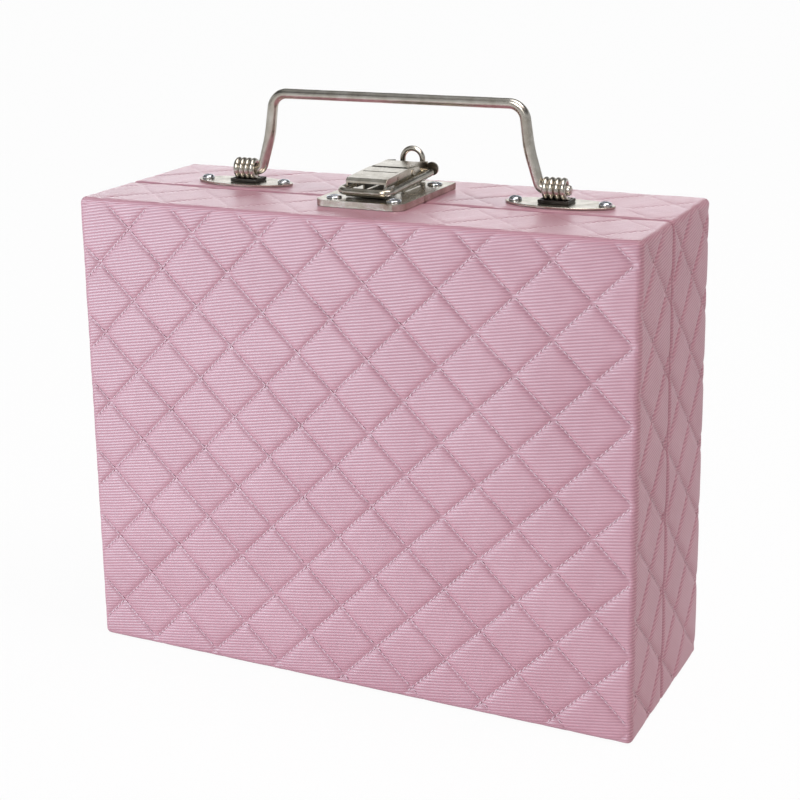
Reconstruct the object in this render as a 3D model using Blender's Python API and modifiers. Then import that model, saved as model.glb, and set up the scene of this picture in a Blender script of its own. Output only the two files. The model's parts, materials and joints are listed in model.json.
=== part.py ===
"""Quilted jewelry case with a wire bail handle and a toggle latch.

Units are metres. +X runs along the case to its right, +Y to its back and +Z up. The origin is
the middle of the case's footprint, on the surface that it stands on. The case opens like a
book along its lower edge: the front half is the lid, and the back half holds the trays.
"""

import math

import bmesh
import bpy
from mathutils import Matrix, Vector

MM = 0.001
GAP = 0.3 * MM  # between pieces that touch on the real case

# Case
WIDTH = 230 * MM
DEPTH = 85 * MM
HEIGHT = 187 * MM
SEAM_Y = -5.5 * MM  # plane where the two halves meet
SEAM_HALF_GAP = 0.2 * MM
EDGE_RADIUS = 3.5 * MM
COVER_WALL = 2.0 * MM  # padded leather
RIM_WALL = 2.8 * MM  # leather turned over the board's edge
BOARD_WALL = 3.0 * MM
LINING_WALL = 1.0 * MM

# Hinges
HINGE_Z = 1.8 * MM
HINGE_X = 70 * MM
KNUCKLE_RADIUS = 1.6 * MM
KNUCKLE_LENGTH = 7.0 * MM
KNUCKLE_POCKET = 1.95 * MM
PIN_RADIUS = 0.7 * MM
PIN_BORE = 0.85 * MM
LEAF = 0.6 * MM
LEAF_OFFSET = 0.15 * MM
LEAF_FOOT = 12 * MM

# Bail handle
HANDLE_X = 67.5 * MM
HANDLE_Y = 7.3 * MM
HANDLE_PLATE = (43 * MM, 18 * MM, 0.8 * MM)
HANDLE_SCREW_X = 17.7 * MM
COIL_X = 66.2 * MM
SADDLE_DEPTH = 8.4 * MM
SADDLE_HEIGHT = 1.3 * MM
SADDLE_END = 0.6 * MM  # its wall past each end of the coil
COIL_AXIS = 5.9 * MM  # above the case's top
COIL_WIRE = 1.12 * MM
COIL_MEAN_RADIUS = 3.58 * MM
COIL_PITCH = 2.33 * MM
COIL_TURNS = 3.6
COIL_HALF = COIL_TURNS * COIL_PITCH / 2 + COIL_WIRE
BAIL_WIRE = 2.0 * MM
BAIL_RISE = 31.3 * MM
BAIL_LEAN = (4.4 * MM, 6.7 * MM)  # inwards from its foot, at its waist and at its top
BAIL_WAIST = 14.5 * MM
BAIL_WAIST_BEND = 45 * MM
BAIL_BEND = 6.5 * MM
BAIL_FOOT_BEND = 3.0 * MM
BAIL_STUB = 0.5 * MM
BAIL_FOOT_GAP = 1.2 * MM  # from the coil's end to the foot's corner

# Latch, in heights above the case's top and distances from the case's middle
PLATE_WIDTH = 36.6 * MM
PLATE_THICK = 2.5 * MM
PLATE_FRONT = -26.6 * MM
PLATE_SPLIT = -5.3 * MM
PLATE_BACK = 24.3 * MM
PLATE_CORNER = 4.0 * MM
HOOD_HALF = 8.5 * MM
HOOD_TOP = (10.2 * MM, 11.3 * MM)  # at its front and at its rear
PLATE_SPLIT_HALF = 0.3 * MM
SHEET = 0.8 * MM
HOOD_LOW = (7.2 * MM, 5.2 * MM)  # height of its side walls' lower edge, at the front and next to it
HOOD_STEPS = (-10.5 * MM, -4.2 * MM)  # where that edge steps down, and where it reaches the plate
HOOD_LIP = 8.3 * MM  # lower edge of its front lip
CHEEK_TOP = 8.0 * MM
CHEEK_SLOPE = 2.2 * MM
GROOVE_Y = -6.0 * MM
SLIT_Y = -8.5 * MM
CUT_HALF = 0.35 * MM  # half the width of the hood's groove and slits
RIVET_HOLE = 1.0 * MM
HOOD_FRONT = -18.5 * MM
HOOD_REAR = 1.4 * MM
CHEEK_REAR = 13.0 * MM
LEVER_HALF = 7.4 * MM
LEVER_FRONT = 2.2 * MM
LEVER_TOP_REAR = 14.0 * MM
LEVER_TOP = 11.6 * MM
LEVER_LOW = ((2.2 * MM, 8.4 * MM), (3.2 * MM, 6.6 * MM), (9.0 * MM, 6.2 * MM), (17.0 * MM, 5.6 * MM))
PIVOT = (5.5 * MM, 9.0 * MM)
RIVET_HEAD = 0.3 * MM
LOOP_PIVOT = (18.4 * MM, 7.4 * MM)
LOOP_WIRE = 1.4 * MM
LOOP_HALF = 10.4 * MM
LOOP_RISE = ((-20.9 * MM, 5.45 * MM), (4.0 * MM, 6.7 * MM), (12.0 * MM, 6.9 * MM))
LOOP_STUB = 7.1 * MM  # its ends reach this far in through the lever's sides
LOOP_BENDS = (1.5 * MM, 8 * MM, 20 * MM, 3.6 * MM)
EAR = (9.3 * MM, 21.3 * MM, 8.2 * MM)  # middle of the lever's right ear
EAR_RADIUS = 2.7 * MM
STAPLE_AT = (0.9 * MM, 21.4 * MM)
STAPLE_WIRE = 1.1 * MM
STAPLE_HALF = 4.25 * MM
STAPLE_TOP = 16.9 * MM
CATCH = (6.5 * MM, -18.6 * MM, -9.5 * MM, 0.9 * MM)  # half width, front, rear, thickness
CATCH_LUG = (5.0 * MM, 8.6 * MM, -16.4 * MM)  # inner and outer side, rear
LATCH_SCREW_X = 12.4 * MM
LATCH_SCREW_Y = (-20.7 * MM, 16.8 * MM)

# Screws
HEAD_RADIUS = 2.55 * MM
HEAD_HEIGHT = 1.6 * MM
LATCH_HEAD_RADIUS = 3.0 * MM
LATCH_HEAD_HEIGHT = 1.0 * MM
HEAD_GAP = 0.1 * MM
SHANK_RADIUS = 1.2 * MM
SHANK_HOLE = 1.5 * MM
SHANK_LENGTH = 4.2 * MM

# Inside
ROLLS = 5
ROLL_PITCH = 17.0 * MM
ROLL_DEPTH = 20.0 * MM
ROLL_ROUNDING = 6.5 * MM
BED_DEPTH = 14.0 * MM
DIVIDER = 3.0 * MM
DIVIDER_SETBACK = 4.5 * MM  # from the seam
DIVIDER_HEIGHTS = (62 * MM, 120 * MM)
MIRROR = (150 * MM, 112 * MM, 2.0 * MM)
MIRROR_BORDER = 8 * MM
MIRROR_FRAME = 5 * MM  # its thickness
MIRROR_SIGHT = 3 * MM  # how far the frame laps over the mirror

COLOURS = {
    "leather": ((0.72, 0.45, 0.52), 0.45, 0.0),
    "board": ((0.55, 0.48, 0.38), 0.9, 0.0),
    "velvet": ((0.62, 0.38, 0.43), 0.95, 0.0),
    "nickel": ((0.52, 0.49, 0.43), 0.28, 1.0),
    "dark_nickel": ((0.20, 0.18, 0.16), 0.4, 1.0),
    "screw_steel": ((0.62, 0.64, 0.68), 0.25, 1.0),
    "mirror": ((0.9, 0.9, 0.9), 0.03, 1.0),
}

for old in list(bpy.data.objects):
    bpy.data.objects.remove(old, do_unlink=True)

CASE = bpy.data.collections.new("jewelry_case")
CUTTERS = bpy.data.collections.new("cutters")
CUTTERS.hide_render = True
bpy.context.scene.collection.children.link(CASE)
bpy.context.scene.collection.children.link(CUTTERS)


def material(name):
    """The named material, made once."""
    found = bpy.data.materials.get(name)
    if found:
        return found
    colour, roughness, metallic = COLOURS[name]
    made = bpy.data.materials.new(name)
    made.use_nodes = True
    shader = made.node_tree.nodes["Principled BSDF"]
    shader.inputs["Base Color"].default_value = (*colour, 1.0)
    shader.inputs["Roughness"].default_value = roughness
    shader.inputs["Metallic"].default_value = metallic
    return made


def add(name, mesh, finish=None, location=(0, 0, 0)):
    """An object of the case, or a cutter when it has no finish."""
    obj = bpy.data.objects.new(name, mesh)
    obj.location = location
    if finish:
        CASE.objects.link(obj)
        mesh.materials.clear()
        mesh.materials.append(material(finish))
    else:
        CUTTERS.objects.link(obj)
        obj.hide_render = True
        obj.display_type = "WIRE"
    return obj


def mesh_from(bm, name):
    mesh = bpy.data.meshes.new(name)
    bmesh.ops.recalc_face_normals(bm, faces=bm.faces)
    bm.to_mesh(mesh)
    bm.free()
    return mesh


def box_bm(low, high):
    bm = bmesh.new()
    bmesh.ops.create_cube(bm, size=1.0)
    size = [h - l for l, h in zip(low, high)]
    middle = [(h + l) / 2 for l, h in zip(low, high)]
    bmesh.ops.scale(bm, vec=size, verts=bm.verts)
    bmesh.ops.translate(bm, vec=middle, verts=bm.verts)
    return bm


def box(name, low, high, finish=None, bevel=0.0, segments=3):
    """A box between two corners, with rounded edges where bevel is more than 0."""
    obj = add(name, mesh_from(box_bm(low, high), name), finish)
    if bevel:
        round_edges(obj, bevel, segments)
    return obj


def round_edges(obj, width, segments=3, angle=40):
    modifier = obj.modifiers.new("round", "BEVEL")
    modifier.width = width
    modifier.segments = segments
    modifier.limit_method = "ANGLE"
    modifier.angle_limit = math.radians(angle)


def rod(name, start, end, radius, finish=None, sides=20):
    """A cylinder from start to end."""
    start, end = Vector(start), Vector(end)
    bm = bmesh.new()
    bmesh.ops.create_cone(bm, cap_ends=True, segments=sides, radius1=radius, radius2=radius,
                          depth=(end - start).length)
    turn = (end - start).to_track_quat("Z", "Y").to_matrix().to_4x4()
    bmesh.ops.transform(bm, matrix=Matrix.Translation((start + end) / 2) @ turn, verts=bm.verts)
    obj = add(name, mesh_from(bm, name), finish)
    smooth(obj)
    return obj


def smooth(obj, angle=40):
    obj.data.shade_smooth()
    obj.data.set_sharp_from_angle(angle=math.radians(angle))


def as_mesh(curve_object, name, finish=None):
    """A mesh object with the shape of a curve, which is removed."""
    bpy.context.view_layer.update()
    graph = bpy.context.evaluated_depsgraph_get()
    mesh = bpy.data.meshes.new_from_object(curve_object.evaluated_get(graph))
    mesh.name = name
    mesh.transform(curve_object.matrix_world)
    bm = bmesh.new()
    bm.from_mesh(mesh)
    bmesh.ops.remove_doubles(bm, verts=bm.verts, dist=0.001 * MM)
    bmesh.ops.recalc_face_normals(bm, faces=bm.faces)
    bm.to_mesh(mesh)
    bm.free()
    bpy.data.objects.remove(curve_object, do_unlink=True)
    return add(name, mesh, finish)


def outline(name, points, thickness, finish=None, across=False):
    """A flat outline given half its thickness each way.

    The outline lies in X and Y, or in Y and Z when it is extruded across the case.
    """
    curve = bpy.data.curves.new(name, "CURVE")
    curve.dimensions = "2D"
    curve.fill_mode = "BOTH"
    curve.extrude = thickness / 2
    spline = curve.splines.new("POLY")
    spline.points.add(len(points) - 1)
    for point, (a, b) in zip(spline.points, points):
        point.co = (a, b, 0, 1)
    spline.use_cyclic_u = True
    obj = bpy.data.objects.new(name + "_outline", curve)
    CASE.objects.link(obj)
    if across:
        obj.matrix_world = Matrix(((0, 0, 1, 0), (1, 0, 0, 0), (0, 1, 0, 0), (0, 0, 0, 1)))
    return as_mesh(obj, name, finish)


def wire(name, points, radius, finish, resolution=2):
    """A round wire through the points, with closed ends."""
    curve = bpy.data.curves.new(name, "CURVE")
    curve.dimensions = "3D"
    curve.bevel_depth = radius
    curve.bevel_resolution = resolution
    curve.use_fill_caps = True
    spline = curve.splines.new("POLY")
    spline.points.add(len(points) - 1)
    for point, place in zip(spline.points, points):
        point.co = (*place, 1)
    obj = bpy.data.objects.new(name + "_path", curve)
    CASE.objects.link(obj)
    made = as_mesh(obj, name, finish)
    smooth(made)
    return made


def rounded(points, radii, steps=6):
    """A path through the points, each inner corner turned on its own radius."""
    points = [Vector(p) for p in points]
    path = [points[0]]
    for before, corner, after, radius in zip(points, points[1:], points[2:], radii):
        to_before = (before - corner).normalized()
        to_after = (after - corner).normalized()
        half = to_before.angle(to_after) / 2
        reach = radius / math.tan(half)
        centre = corner + (to_before + to_after).normalized() * (radius / math.sin(half))
        first = (corner + to_before * reach - centre).normalized()
        last = (corner + to_after * reach - centre).normalized()
        for step in range(steps + 1):
            path.append(centre + first.slerp(last, step / steps) * radius)
    return path + [points[-1]]


def boolean(target, other, operation="DIFFERENCE"):
    modifier = target.modifiers.new(operation.lower(), "BOOLEAN")
    modifier.operation = operation
    modifier.object = other
    modifier.solver = "EXACT"


def move_origin(obj, place):
    """Puts an object's origin on its joint without moving its shape."""
    obj.data.transform(Matrix.Translation(-Vector(place)))
    obj.location = place


# Case halves

def half_shell(prefix, open_y, shut_y):
    """Cover, board and lining of one half, nested and open on the seam side."""
    inward = 1 if shut_y > open_y else -1

    def nested(name, finish, outside, wall, y_open, bevel=0.0):
        low = (-WIDTH / 2 + outside, min(y_open, shut_y - inward * outside), outside)
        high = (WIDTH / 2 - outside, max(y_open, shut_y - inward * outside), HEIGHT - outside)
        obj = box(name, low, high, finish, bevel, 4)
        past = y_open - inward * 5 * MM
        deep = shut_y - inward * (outside + wall)
        inner_low = (low[0] + wall, min(past, deep), low[2] + wall)
        inner_high = (high[0] - wall, max(past, deep), high[2] - wall)
        return obj, inner_low, inner_high

    cover, low, high = nested(prefix + "_cover", "leather", 0.0, COVER_WALL, open_y, EDGE_RADIUS)
    # The pocket for the board starts behind the turned rim.
    rim_y = open_y + inward * RIM_WALL
    deep = shut_y - inward * COVER_WALL
    pocket = box(prefix + "_board_pocket", (low[0], min(rim_y, deep), low[2]),
                 (high[0], max(rim_y, deep), high[2]))
    boolean(cover, pocket)
    rim = COVER_WALL + BOARD_WALL + 2 * GAP
    past = open_y - inward * 5 * MM
    mouth = box(prefix + "_mouth", (-WIDTH / 2 + rim, min(past, deep), rim),
                (WIDTH / 2 - rim, max(past, deep), HEIGHT - rim))
    boolean(cover, mouth)

    board, low, high = nested(prefix + "_board", "board", COVER_WALL + GAP, BOARD_WALL,
                              rim_y + inward * GAP)
    boolean(board, box(prefix + "_board_hollow", low, high))
    lining, low, high = nested(prefix + "_lining", "velvet", rim, LINING_WALL, open_y)
    boolean(lining, box(prefix + "_lining_hollow", low, high))
    return cover, board, lining


def case_halves():
    back = half_shell("back", SEAM_Y + SEAM_HALF_GAP, DEPTH / 2)
    lid = half_shell("lid", SEAM_Y - SEAM_HALF_GAP, -DEPTH / 2)
    return back, lid


def screw_places():
    """Name, x, y, plate height, head radius and height of each screw."""
    places = []
    for side, sign in (("left", -1), ("right", 1)):
        for spot, offset in (("outer", 1), ("inner", -1)):
            x = sign * (HANDLE_X + offset * HANDLE_SCREW_X)
            places.append((f"handle_screw_{side}_{spot}", x, HANDLE_Y, HANDLE_PLATE[2],
                           HEAD_RADIUS, HEAD_HEIGHT))
        for spot, y in (("front", LATCH_SCREW_Y[0]), ("rear", LATCH_SCREW_Y[1])):
            places.append((f"latch_screw_{spot}_{side}", sign * LATCH_SCREW_X, y, PLATE_THICK,
                           LATCH_HEAD_RADIUS, LATCH_HEAD_HEIGHT))
    return places


def screw(name, x, y, plate, radius, height):
    """A domed cross-head screw through a plate into the board."""
    seat = HEIGHT + GAP + plate + HEAD_GAP
    rise = [(radius * math.cos(a), seat + 0.25 * height + 0.75 * height * math.sin(a))
            for a in (math.radians(d) for d in (72, 54, 36, 18, 0))]
    profile = [(0, seat + height)] + rise
    profile += [(radius, seat), (SHANK_RADIUS, seat)]
    bottom = seat - SHANK_LENGTH - plate
    profile += [(SHANK_RADIUS, bottom + SHANK_RADIUS), (0, bottom)]
    mesh = bpy.data.meshes.new(name)
    verts = [(r, 0, z) for r, z in profile]
    mesh.from_pydata(verts, [(i, i + 1) for i in range(len(verts) - 1)], [])
    obj = add(name, mesh, "screw_steel", (x, y, 0))
    turn = obj.modifiers.new("turn", "SCREW")
    turn.steps = turn.render_steps = 20
    turn.use_merge_vertices = True
    turn.merge_threshold = 0.01 * MM
    turn.use_smooth_shade = True
    long, wide, deep = 0.62 * radius, 0.16 * radius, 0.5 * height
    for name_end, dx, dy in (("a", long, wide), ("b", wide, long)):
        slot = box(f"{name}_slot_{name_end}", (x - dx, y - dy, seat + height - deep),
                   (x + dx, y + dy, seat + height + MM))
        boolean(obj, slot)
    return obj


def screw_hole(name, x, y, top, target, depth=7 * MM):
    hole = rod(name, (x, y, HEIGHT - depth), (x, y, HEIGHT + top), SHANK_HOLE, None, 12)
    for obj in target:
        boolean(obj, hole)


# Hinges

def hinge(side, x, back_cover, lid_cover, linings):
    """A small butt hinge: its leaves go up through the seam and lie along the linings."""
    axis_y, axis_z = SEAM_Y, HINGE_Z
    half = 1.5 * KNUCKLE_LENGTH + 0.2 * MM
    rim = COVER_WALL + BOARD_WALL + 2 * GAP + LINING_WALL
    foot_z = rim + GAP
    pocket = rod(f"hinge_pocket_{side}", (x - half - GAP, axis_y, axis_z),
                 (x + half + GAP, axis_y, axis_z), KNUCKLE_POCKET, None, 24)
    slot_half = LEAF_OFFSET + LEAF + GAP
    slot = box(f"hinge_slot_{side}", (x - half - GAP, axis_y - slot_half, axis_z),
               (x + half + GAP, axis_y + slot_half, foot_z + LEAF + 2 * GAP))
    for obj in (back_cover, lid_cover, *linings):
        boolean(obj, slot)
    for obj in (back_cover, lid_cover):
        boolean(obj, pocket)

    bore = rod(f"hinge_bore_{side}", (x - half - MM, axis_y, axis_z),
               (x + half + MM, axis_y, axis_z), PIN_BORE, None, 16)
    for body, sign, knuckles in (("back", 1, (-1, 1)), ("lid", -1, (0,))):
        low = sorted((sign * LEAF_OFFSET, sign * (LEAF_OFFSET + LEAF)))
        clear = axis_z + KNUCKLE_RADIUS + GAP
        leaf = box(f"hinge_leaf_{body}_{side}", (x - half, axis_y + low[0], clear),
                   (x + half, axis_y + low[1], foot_z + LEAF), "nickel")
        reach = sorted((sign * LEAF_OFFSET, sign * LEAF_FOOT))
        foot = box(f"hinge_foot_{body}_{side}", (x - half, axis_y + reach[0], foot_z),
                   (x + half, axis_y + reach[1], foot_z + LEAF))
        boolean(leaf, foot, "UNION")
        for spot in knuckles:
            middle = x + spot * (KNUCKLE_LENGTH + 0.2 * MM)
            ends = (middle - KNUCKLE_LENGTH / 2, middle + KNUCKLE_LENGTH / 2)
            barrel = rod(f"hinge_barrel_{body}_{side}_{spot}", (ends[0], axis_y, axis_z),
                         (ends[1], axis_y, axis_z), KNUCKLE_RADIUS, None, 16)
            tab = box(f"hinge_tab_{body}_{side}_{spot}",
                      (ends[0], axis_y + low[0], axis_z + PIN_BORE),
                      (ends[1], axis_y + low[1], clear + 0.5 * MM))
            boolean(leaf, barrel, "UNION")
            boolean(leaf, tab, "UNION")
        boolean(leaf, bore)
    rod(f"hinge_pin_{side}", (x - half, axis_y, axis_z), (x + half, axis_y, axis_z),
        PIN_RADIUS, "nickel", 12)


# Bail handle

def lens(length, width, corners=14):
    """Points round a plate with two bowed sides that meet in blunt ends."""
    points = []
    for i in range(2 * corners):
        angle = math.pi * (i + 0.5) / corners
        c, s = math.cos(angle), math.sin(angle)
        reach = math.copysign(abs(c) ** 0.9, c) * length / 2
        points.append((reach, math.copysign(abs(s) ** 1.15, s) * width / 2))
    return points


def handle_mount(side, sign):
    """Plate, saddle and the wire coil that grips one foot of the bail."""
    plate = outline(f"handle_plate_{side}", lens(*HANDLE_PLATE[:2]), HANDLE_PLATE[2], "nickel")
    plate.location = (sign * HANDLE_X, HANDLE_Y, HEIGHT + GAP + HANDLE_PLATE[2] / 2)
    x = sign * COIL_X
    seat = HEIGHT + GAP + HANDLE_PLATE[2] + HEAD_GAP
    inner = COIL_HALF + HEAD_GAP
    outer = inner + SADDLE_END
    saddle = box(f"coil_saddle_{side}", (x - outer, HANDLE_Y - SADDLE_DEPTH / 2, seat),
                 (x + outer, HANDLE_Y + SADDLE_DEPTH / 2, seat + SADDLE_HEIGHT), "dark_nickel")
    axis_z = HEIGHT + COIL_AXIS
    trough = rod(f"coil_trough_{side}", (x - inner, HANDLE_Y, axis_z),
                 (x + inner, HANDLE_Y, axis_z), COIL_MEAN_RADIUS + COIL_WIRE + HEAD_GAP, None, 40)
    boolean(saddle, trough)
    per_turn = 16
    count = int(COIL_TURNS * per_turn) + 1
    turns = []
    for i in range(count):
        angle = 2 * math.pi * i / per_turn + 0.4 * math.pi
        along = (i / per_turn - COIL_TURNS / 2) * COIL_PITCH
        turns.append((x + along, HANDLE_Y + COIL_MEAN_RADIUS * math.cos(angle),
                      axis_z + COIL_MEAN_RADIUS * math.sin(angle)))
    wire(f"bail_coil_{side}", turns, COIL_WIRE, "nickel")
    return plate


def bail():
    axis_z = HEIGHT + COIL_AXIS
    foot_out = COIL_X + COIL_HALF + BAIL_STUB
    foot_in = COIL_X - COIL_HALF - BAIL_FOOT_GAP
    waist_x, top_x = (foot_in - lean for lean in BAIL_LEAN)
    left = [(-foot_out, 0, 0), (-foot_in, 0, 0), (-waist_x, 0, BAIL_WAIST), (-top_x, 0, BAIL_RISE)]
    right = [(-x, y, z) for x, y, z in reversed(left)]
    bends = (BAIL_FOOT_BEND, BAIL_WAIST_BEND, BAIL_BEND)
    path = [p + Vector((0, HANDLE_Y, axis_z))
            for p in rounded(left + right, bends + bends[::-1], 7)]
    made = wire("bail_handle", path, BAIL_WIRE, "nickel", 3)
    move_origin(made, (0, HANDLE_Y, axis_z))


# Latch

def at(y, z):
    return (y, HEIGHT + z)


def latch_plate(name, y_low, y_high, rounded_end, screws):
    """A flat plate with a hole for each screw, and large corners at its rounded end if any."""
    half = PLATE_WIDTH / 2
    corners = []
    for x_sign, y_sign in ((1, -1), (1, 1), (-1, 1), (-1, -1)):
        radius = PLATE_CORNER if y_sign == rounded_end else 0.8 * MM
        y = y_high if y_sign > 0 else y_low
        cx, cy = x_sign * (half - radius), y - y_sign * radius
        first = {(1, -1): -90, (1, 1): 0, (-1, 1): 90, (-1, -1): 180}[(x_sign, y_sign)]
        for step in range(6):
            angle = math.radians(first + 18 * step)
            corners.append((cx + radius * math.cos(angle), cy + radius * math.sin(angle)))
    plate = outline(name, corners, PLATE_THICK, "nickel")
    plate.location = (0, 0, HEIGHT + GAP + PLATE_THICK / 2)
    for x, y in screws:
        boolean(plate, rod(f"{name}_hole_{x:.3f}", (x, y, HEIGHT - 5 * MM),
                           (x, y, HEIGHT + 8 * MM), SHANK_HOLE, None, 12))
    return plate


def latch_hood():
    """Stamped channel on the rear plate whose front reaches over the seam to the catch."""
    base = GAP + PLATE_THICK + GAP
    top_front, top_rear = HOOD_TOP
    low_front, low_middle = HOOD_LOW
    step_a, step_b = HOOD_STEPS
    lip_rear = HOOD_FRONT + 0.9 * MM
    beyond = 5 * MM
    side = [at(HOOD_FRONT, low_front), at(step_a, low_front), at(step_a, low_middle),
            at(step_b, low_middle), at(step_b, base), at(CHEEK_REAR, base),
            at(CHEEK_REAR, CHEEK_TOP), at(CHEEK_REAR - CHEEK_SLOPE, top_rear - 0.6 * MM),
            at(HOOD_REAR, top_rear),
            at(HOOD_FRONT + 1.0 * MM, top_front + 0.05 * MM), at(HOOD_FRONT, top_front - 0.9 * MM)]
    hood = outline("latch_hood", side, 2 * HOOD_HALF, "nickel", across=True)
    inside = [at(HOOD_FRONT - beyond, -MM), at(CHEEK_REAR + beyond, -MM),
              at(CHEEK_REAR + beyond, top_rear + beyond), at(HOOD_REAR, top_rear + beyond),
              at(HOOD_REAR, top_rear - SHEET), at(lip_rear, top_front - SHEET),
              at(lip_rear, HOOD_LIP), at(HOOD_FRONT - beyond, HOOD_LIP)]
    boolean(hood, outline("hood_inside", inside, 2 * (HOOD_HALF - SHEET), None, across=True))
    groove_half = HOOD_HALF - SHEET - 0.3 * MM
    groove_z = HEIGHT + (top_front + top_rear) / 2 - 0.4 * MM
    boolean(hood, box("hood_groove", (-groove_half, GROOVE_Y - CUT_HALF, groove_z),
                      (groove_half, GROOVE_Y + CUT_HALF, groove_z + 3 * MM)))
    for sign in (-1, 1):
        x = sorted((sign * (HOOD_HALF - 2 * SHEET), sign * (HOOD_HALF + MM)))
        boolean(hood, box(f"hood_slit_{sign}", (x[0], SLIT_Y - CUT_HALF, HEIGHT),
                          (x[1], SLIT_Y + CUT_HALF, HEIGHT + top_front - 0.6 * MM)))
    boolean(hood, rod("hood_rivet_hole", (-LOOP_HALF, PIVOT[0], HEIGHT + PIVOT[1]),
                      (LOOP_HALF, PIVOT[0], HEIGHT + PIVOT[1]), RIVET_HOLE, None, 16))
    return hood


def latch_lever():
    """Stamped lever between the hood's cheeks, pivoting on the rivet."""
    ear_x, ear_y, ear_z = EAR
    rear = ear_y + SHEET / 2
    beyond = 5 * MM
    side = [at(LEVER_FRONT, LEVER_TOP)] + [at(*corner) for corner in LEVER_LOW]
    side += [at(rear, ear_z - EAR_RADIUS), at(rear, ear_z + EAR_RADIUS),
             at(LEVER_LOW[-1][0], LEVER_TOP), at(LEVER_TOP_REAR, LEVER_TOP + 0.3 * MM),
             at(LEVER_TOP_REAR - 4 * MM, LEVER_TOP)]
    lever = outline("latch_lever", side, 2 * LEVER_HALF, "nickel", across=True)
    inside = [at(LEVER_FRONT - beyond, 0), at(rear + beyond, 0),
              at(rear + beyond, LEVER_TOP + beyond), at(LEVER_TOP_REAR, LEVER_TOP + beyond),
              at(LEVER_TOP_REAR, LEVER_TOP - SHEET), at(LEVER_FRONT - beyond, LEVER_TOP - SHEET)]
    boolean(lever, outline("lever_inside", inside, 2 * (LEVER_HALF - SHEET), None, across=True))
    for sign in (-1, 1):
        ear = rod(f"lever_ear_{sign}", (sign * ear_x, ear_y - SHEET / 2, HEIGHT + ear_z),
                  (sign * ear_x, ear_y + SHEET / 2, HEIGHT + ear_z), EAR_RADIUS, None, 24)
        clear = box(f"lever_ear_clear_{sign}",
                    (sorted((0, sign * (LEVER_HALF - SHEET)))[0], ear_y - 2 * MM, HEIGHT),
                    (sorted((0, sign * (LEVER_HALF - SHEET)))[1], ear_y + 2 * MM, HEIGHT + 20 * MM))
        boolean(ear, clear)
        boolean(lever, ear, "UNION")
    for name, (y, z), radius in (("lever_rivet_hole", PIVOT, RIVET_HOLE),
                                 ("lever_loop_hole", LOOP_PIVOT, LOOP_WIRE + 0.15 * MM)):
        boolean(lever, rod(name, (-LOOP_HALF, y, HEIGHT + z), (LOOP_HALF, y, HEIGHT + z),
                           radius, None, 20))
    empty_origin = (0, PIVOT[0], HEIGHT + PIVOT[1])
    move_origin(lever, empty_origin)
    return lever


def latch_rivet():
    """Rivet through hood and lever, with a flat round head each side."""
    y, z = PIVOT[0], HEIGHT + PIVOT[1]
    inner = HOOD_HALF + 0.05 * MM
    rivet = rod("latch_rivet", (-inner - RIVET_HEAD, y, z), (inner + RIVET_HEAD, y, z), 0.85 * MM,
                "nickel", 16)
    for sign in (-1, 1):
        head = rod(f"rivet_head_{sign}", (sign * inner, y, z), (sign * (inner + RIVET_HEAD), y, z),
                   1.3 * MM, None, 20)
        boolean(rivet, head, "UNION")
        dimple = rod(f"rivet_dimple_{sign}", (sign * (inner + RIVET_HEAD / 2), y, z),
                     (sign * (inner + 2 * MM), y, z), 0.6 * MM, None, 16)
        boolean(rivet, dimple)


def latch_loop():
    """Wire loop that the lever draws back over the catch."""
    y_rear, z_rear = LOOP_PIVOT
    right = [(LOOP_HALF, y, z) for y, z in (*LOOP_RISE, LOOP_PIVOT)]
    right.append((LOOP_STUB, y_rear, z_rear))
    left = [(-x, y, z) for x, y, z in reversed(right)]
    corners = [(x, y, HEIGHT + z) for x, y, z in left + right]
    loop = wire("latch_loop", rounded(corners, LOOP_BENDS + LOOP_BENDS[::-1], 5), LOOP_WIRE, "nickel", 2)
    move_origin(loop, (0, y_rear, HEIGHT + z_rear))


def padlock_staple():
    """Half ring standing on the rear plate behind the lever, for a padlock."""
    x, y = STAPLE_AT
    base = GAP + PLATE_THICK + GAP
    spring = STAPLE_TOP - STAPLE_WIRE - STAPLE_HALF
    path = [(x - STAPLE_HALF, y, HEIGHT + base)]
    for step in range(13):
        angle = math.pi - math.pi * step / 12
        path.append((x + STAPLE_HALF * math.cos(angle), y,
                     HEIGHT + spring + STAPLE_HALF * math.sin(angle)))
    path.append((x + STAPLE_HALF, y, HEIGHT + base))
    wire("padlock_staple", path, STAPLE_WIRE, "nickel", 2)


def latch_catch():
    """Low tongue on the front plate, with a lug at each side, under the loop."""
    base = HEIGHT + GAP + PLATE_THICK + GAP
    half, front, rear, thick = CATCH
    lug_inner, lug_outer, lug_rear = CATCH_LUG
    tongue = box("latch_catch", (-half, front, base), (half, rear, base + thick), "nickel")
    for sign in (-1, 1):
        x = sorted((sign * lug_inner, sign * lug_outer))
        lug = box(f"catch_lug_{sign}", (x[0], front, base), (x[1], lug_rear, base + thick))
        boolean(tongue, lug, "UNION")


# Inside

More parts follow.
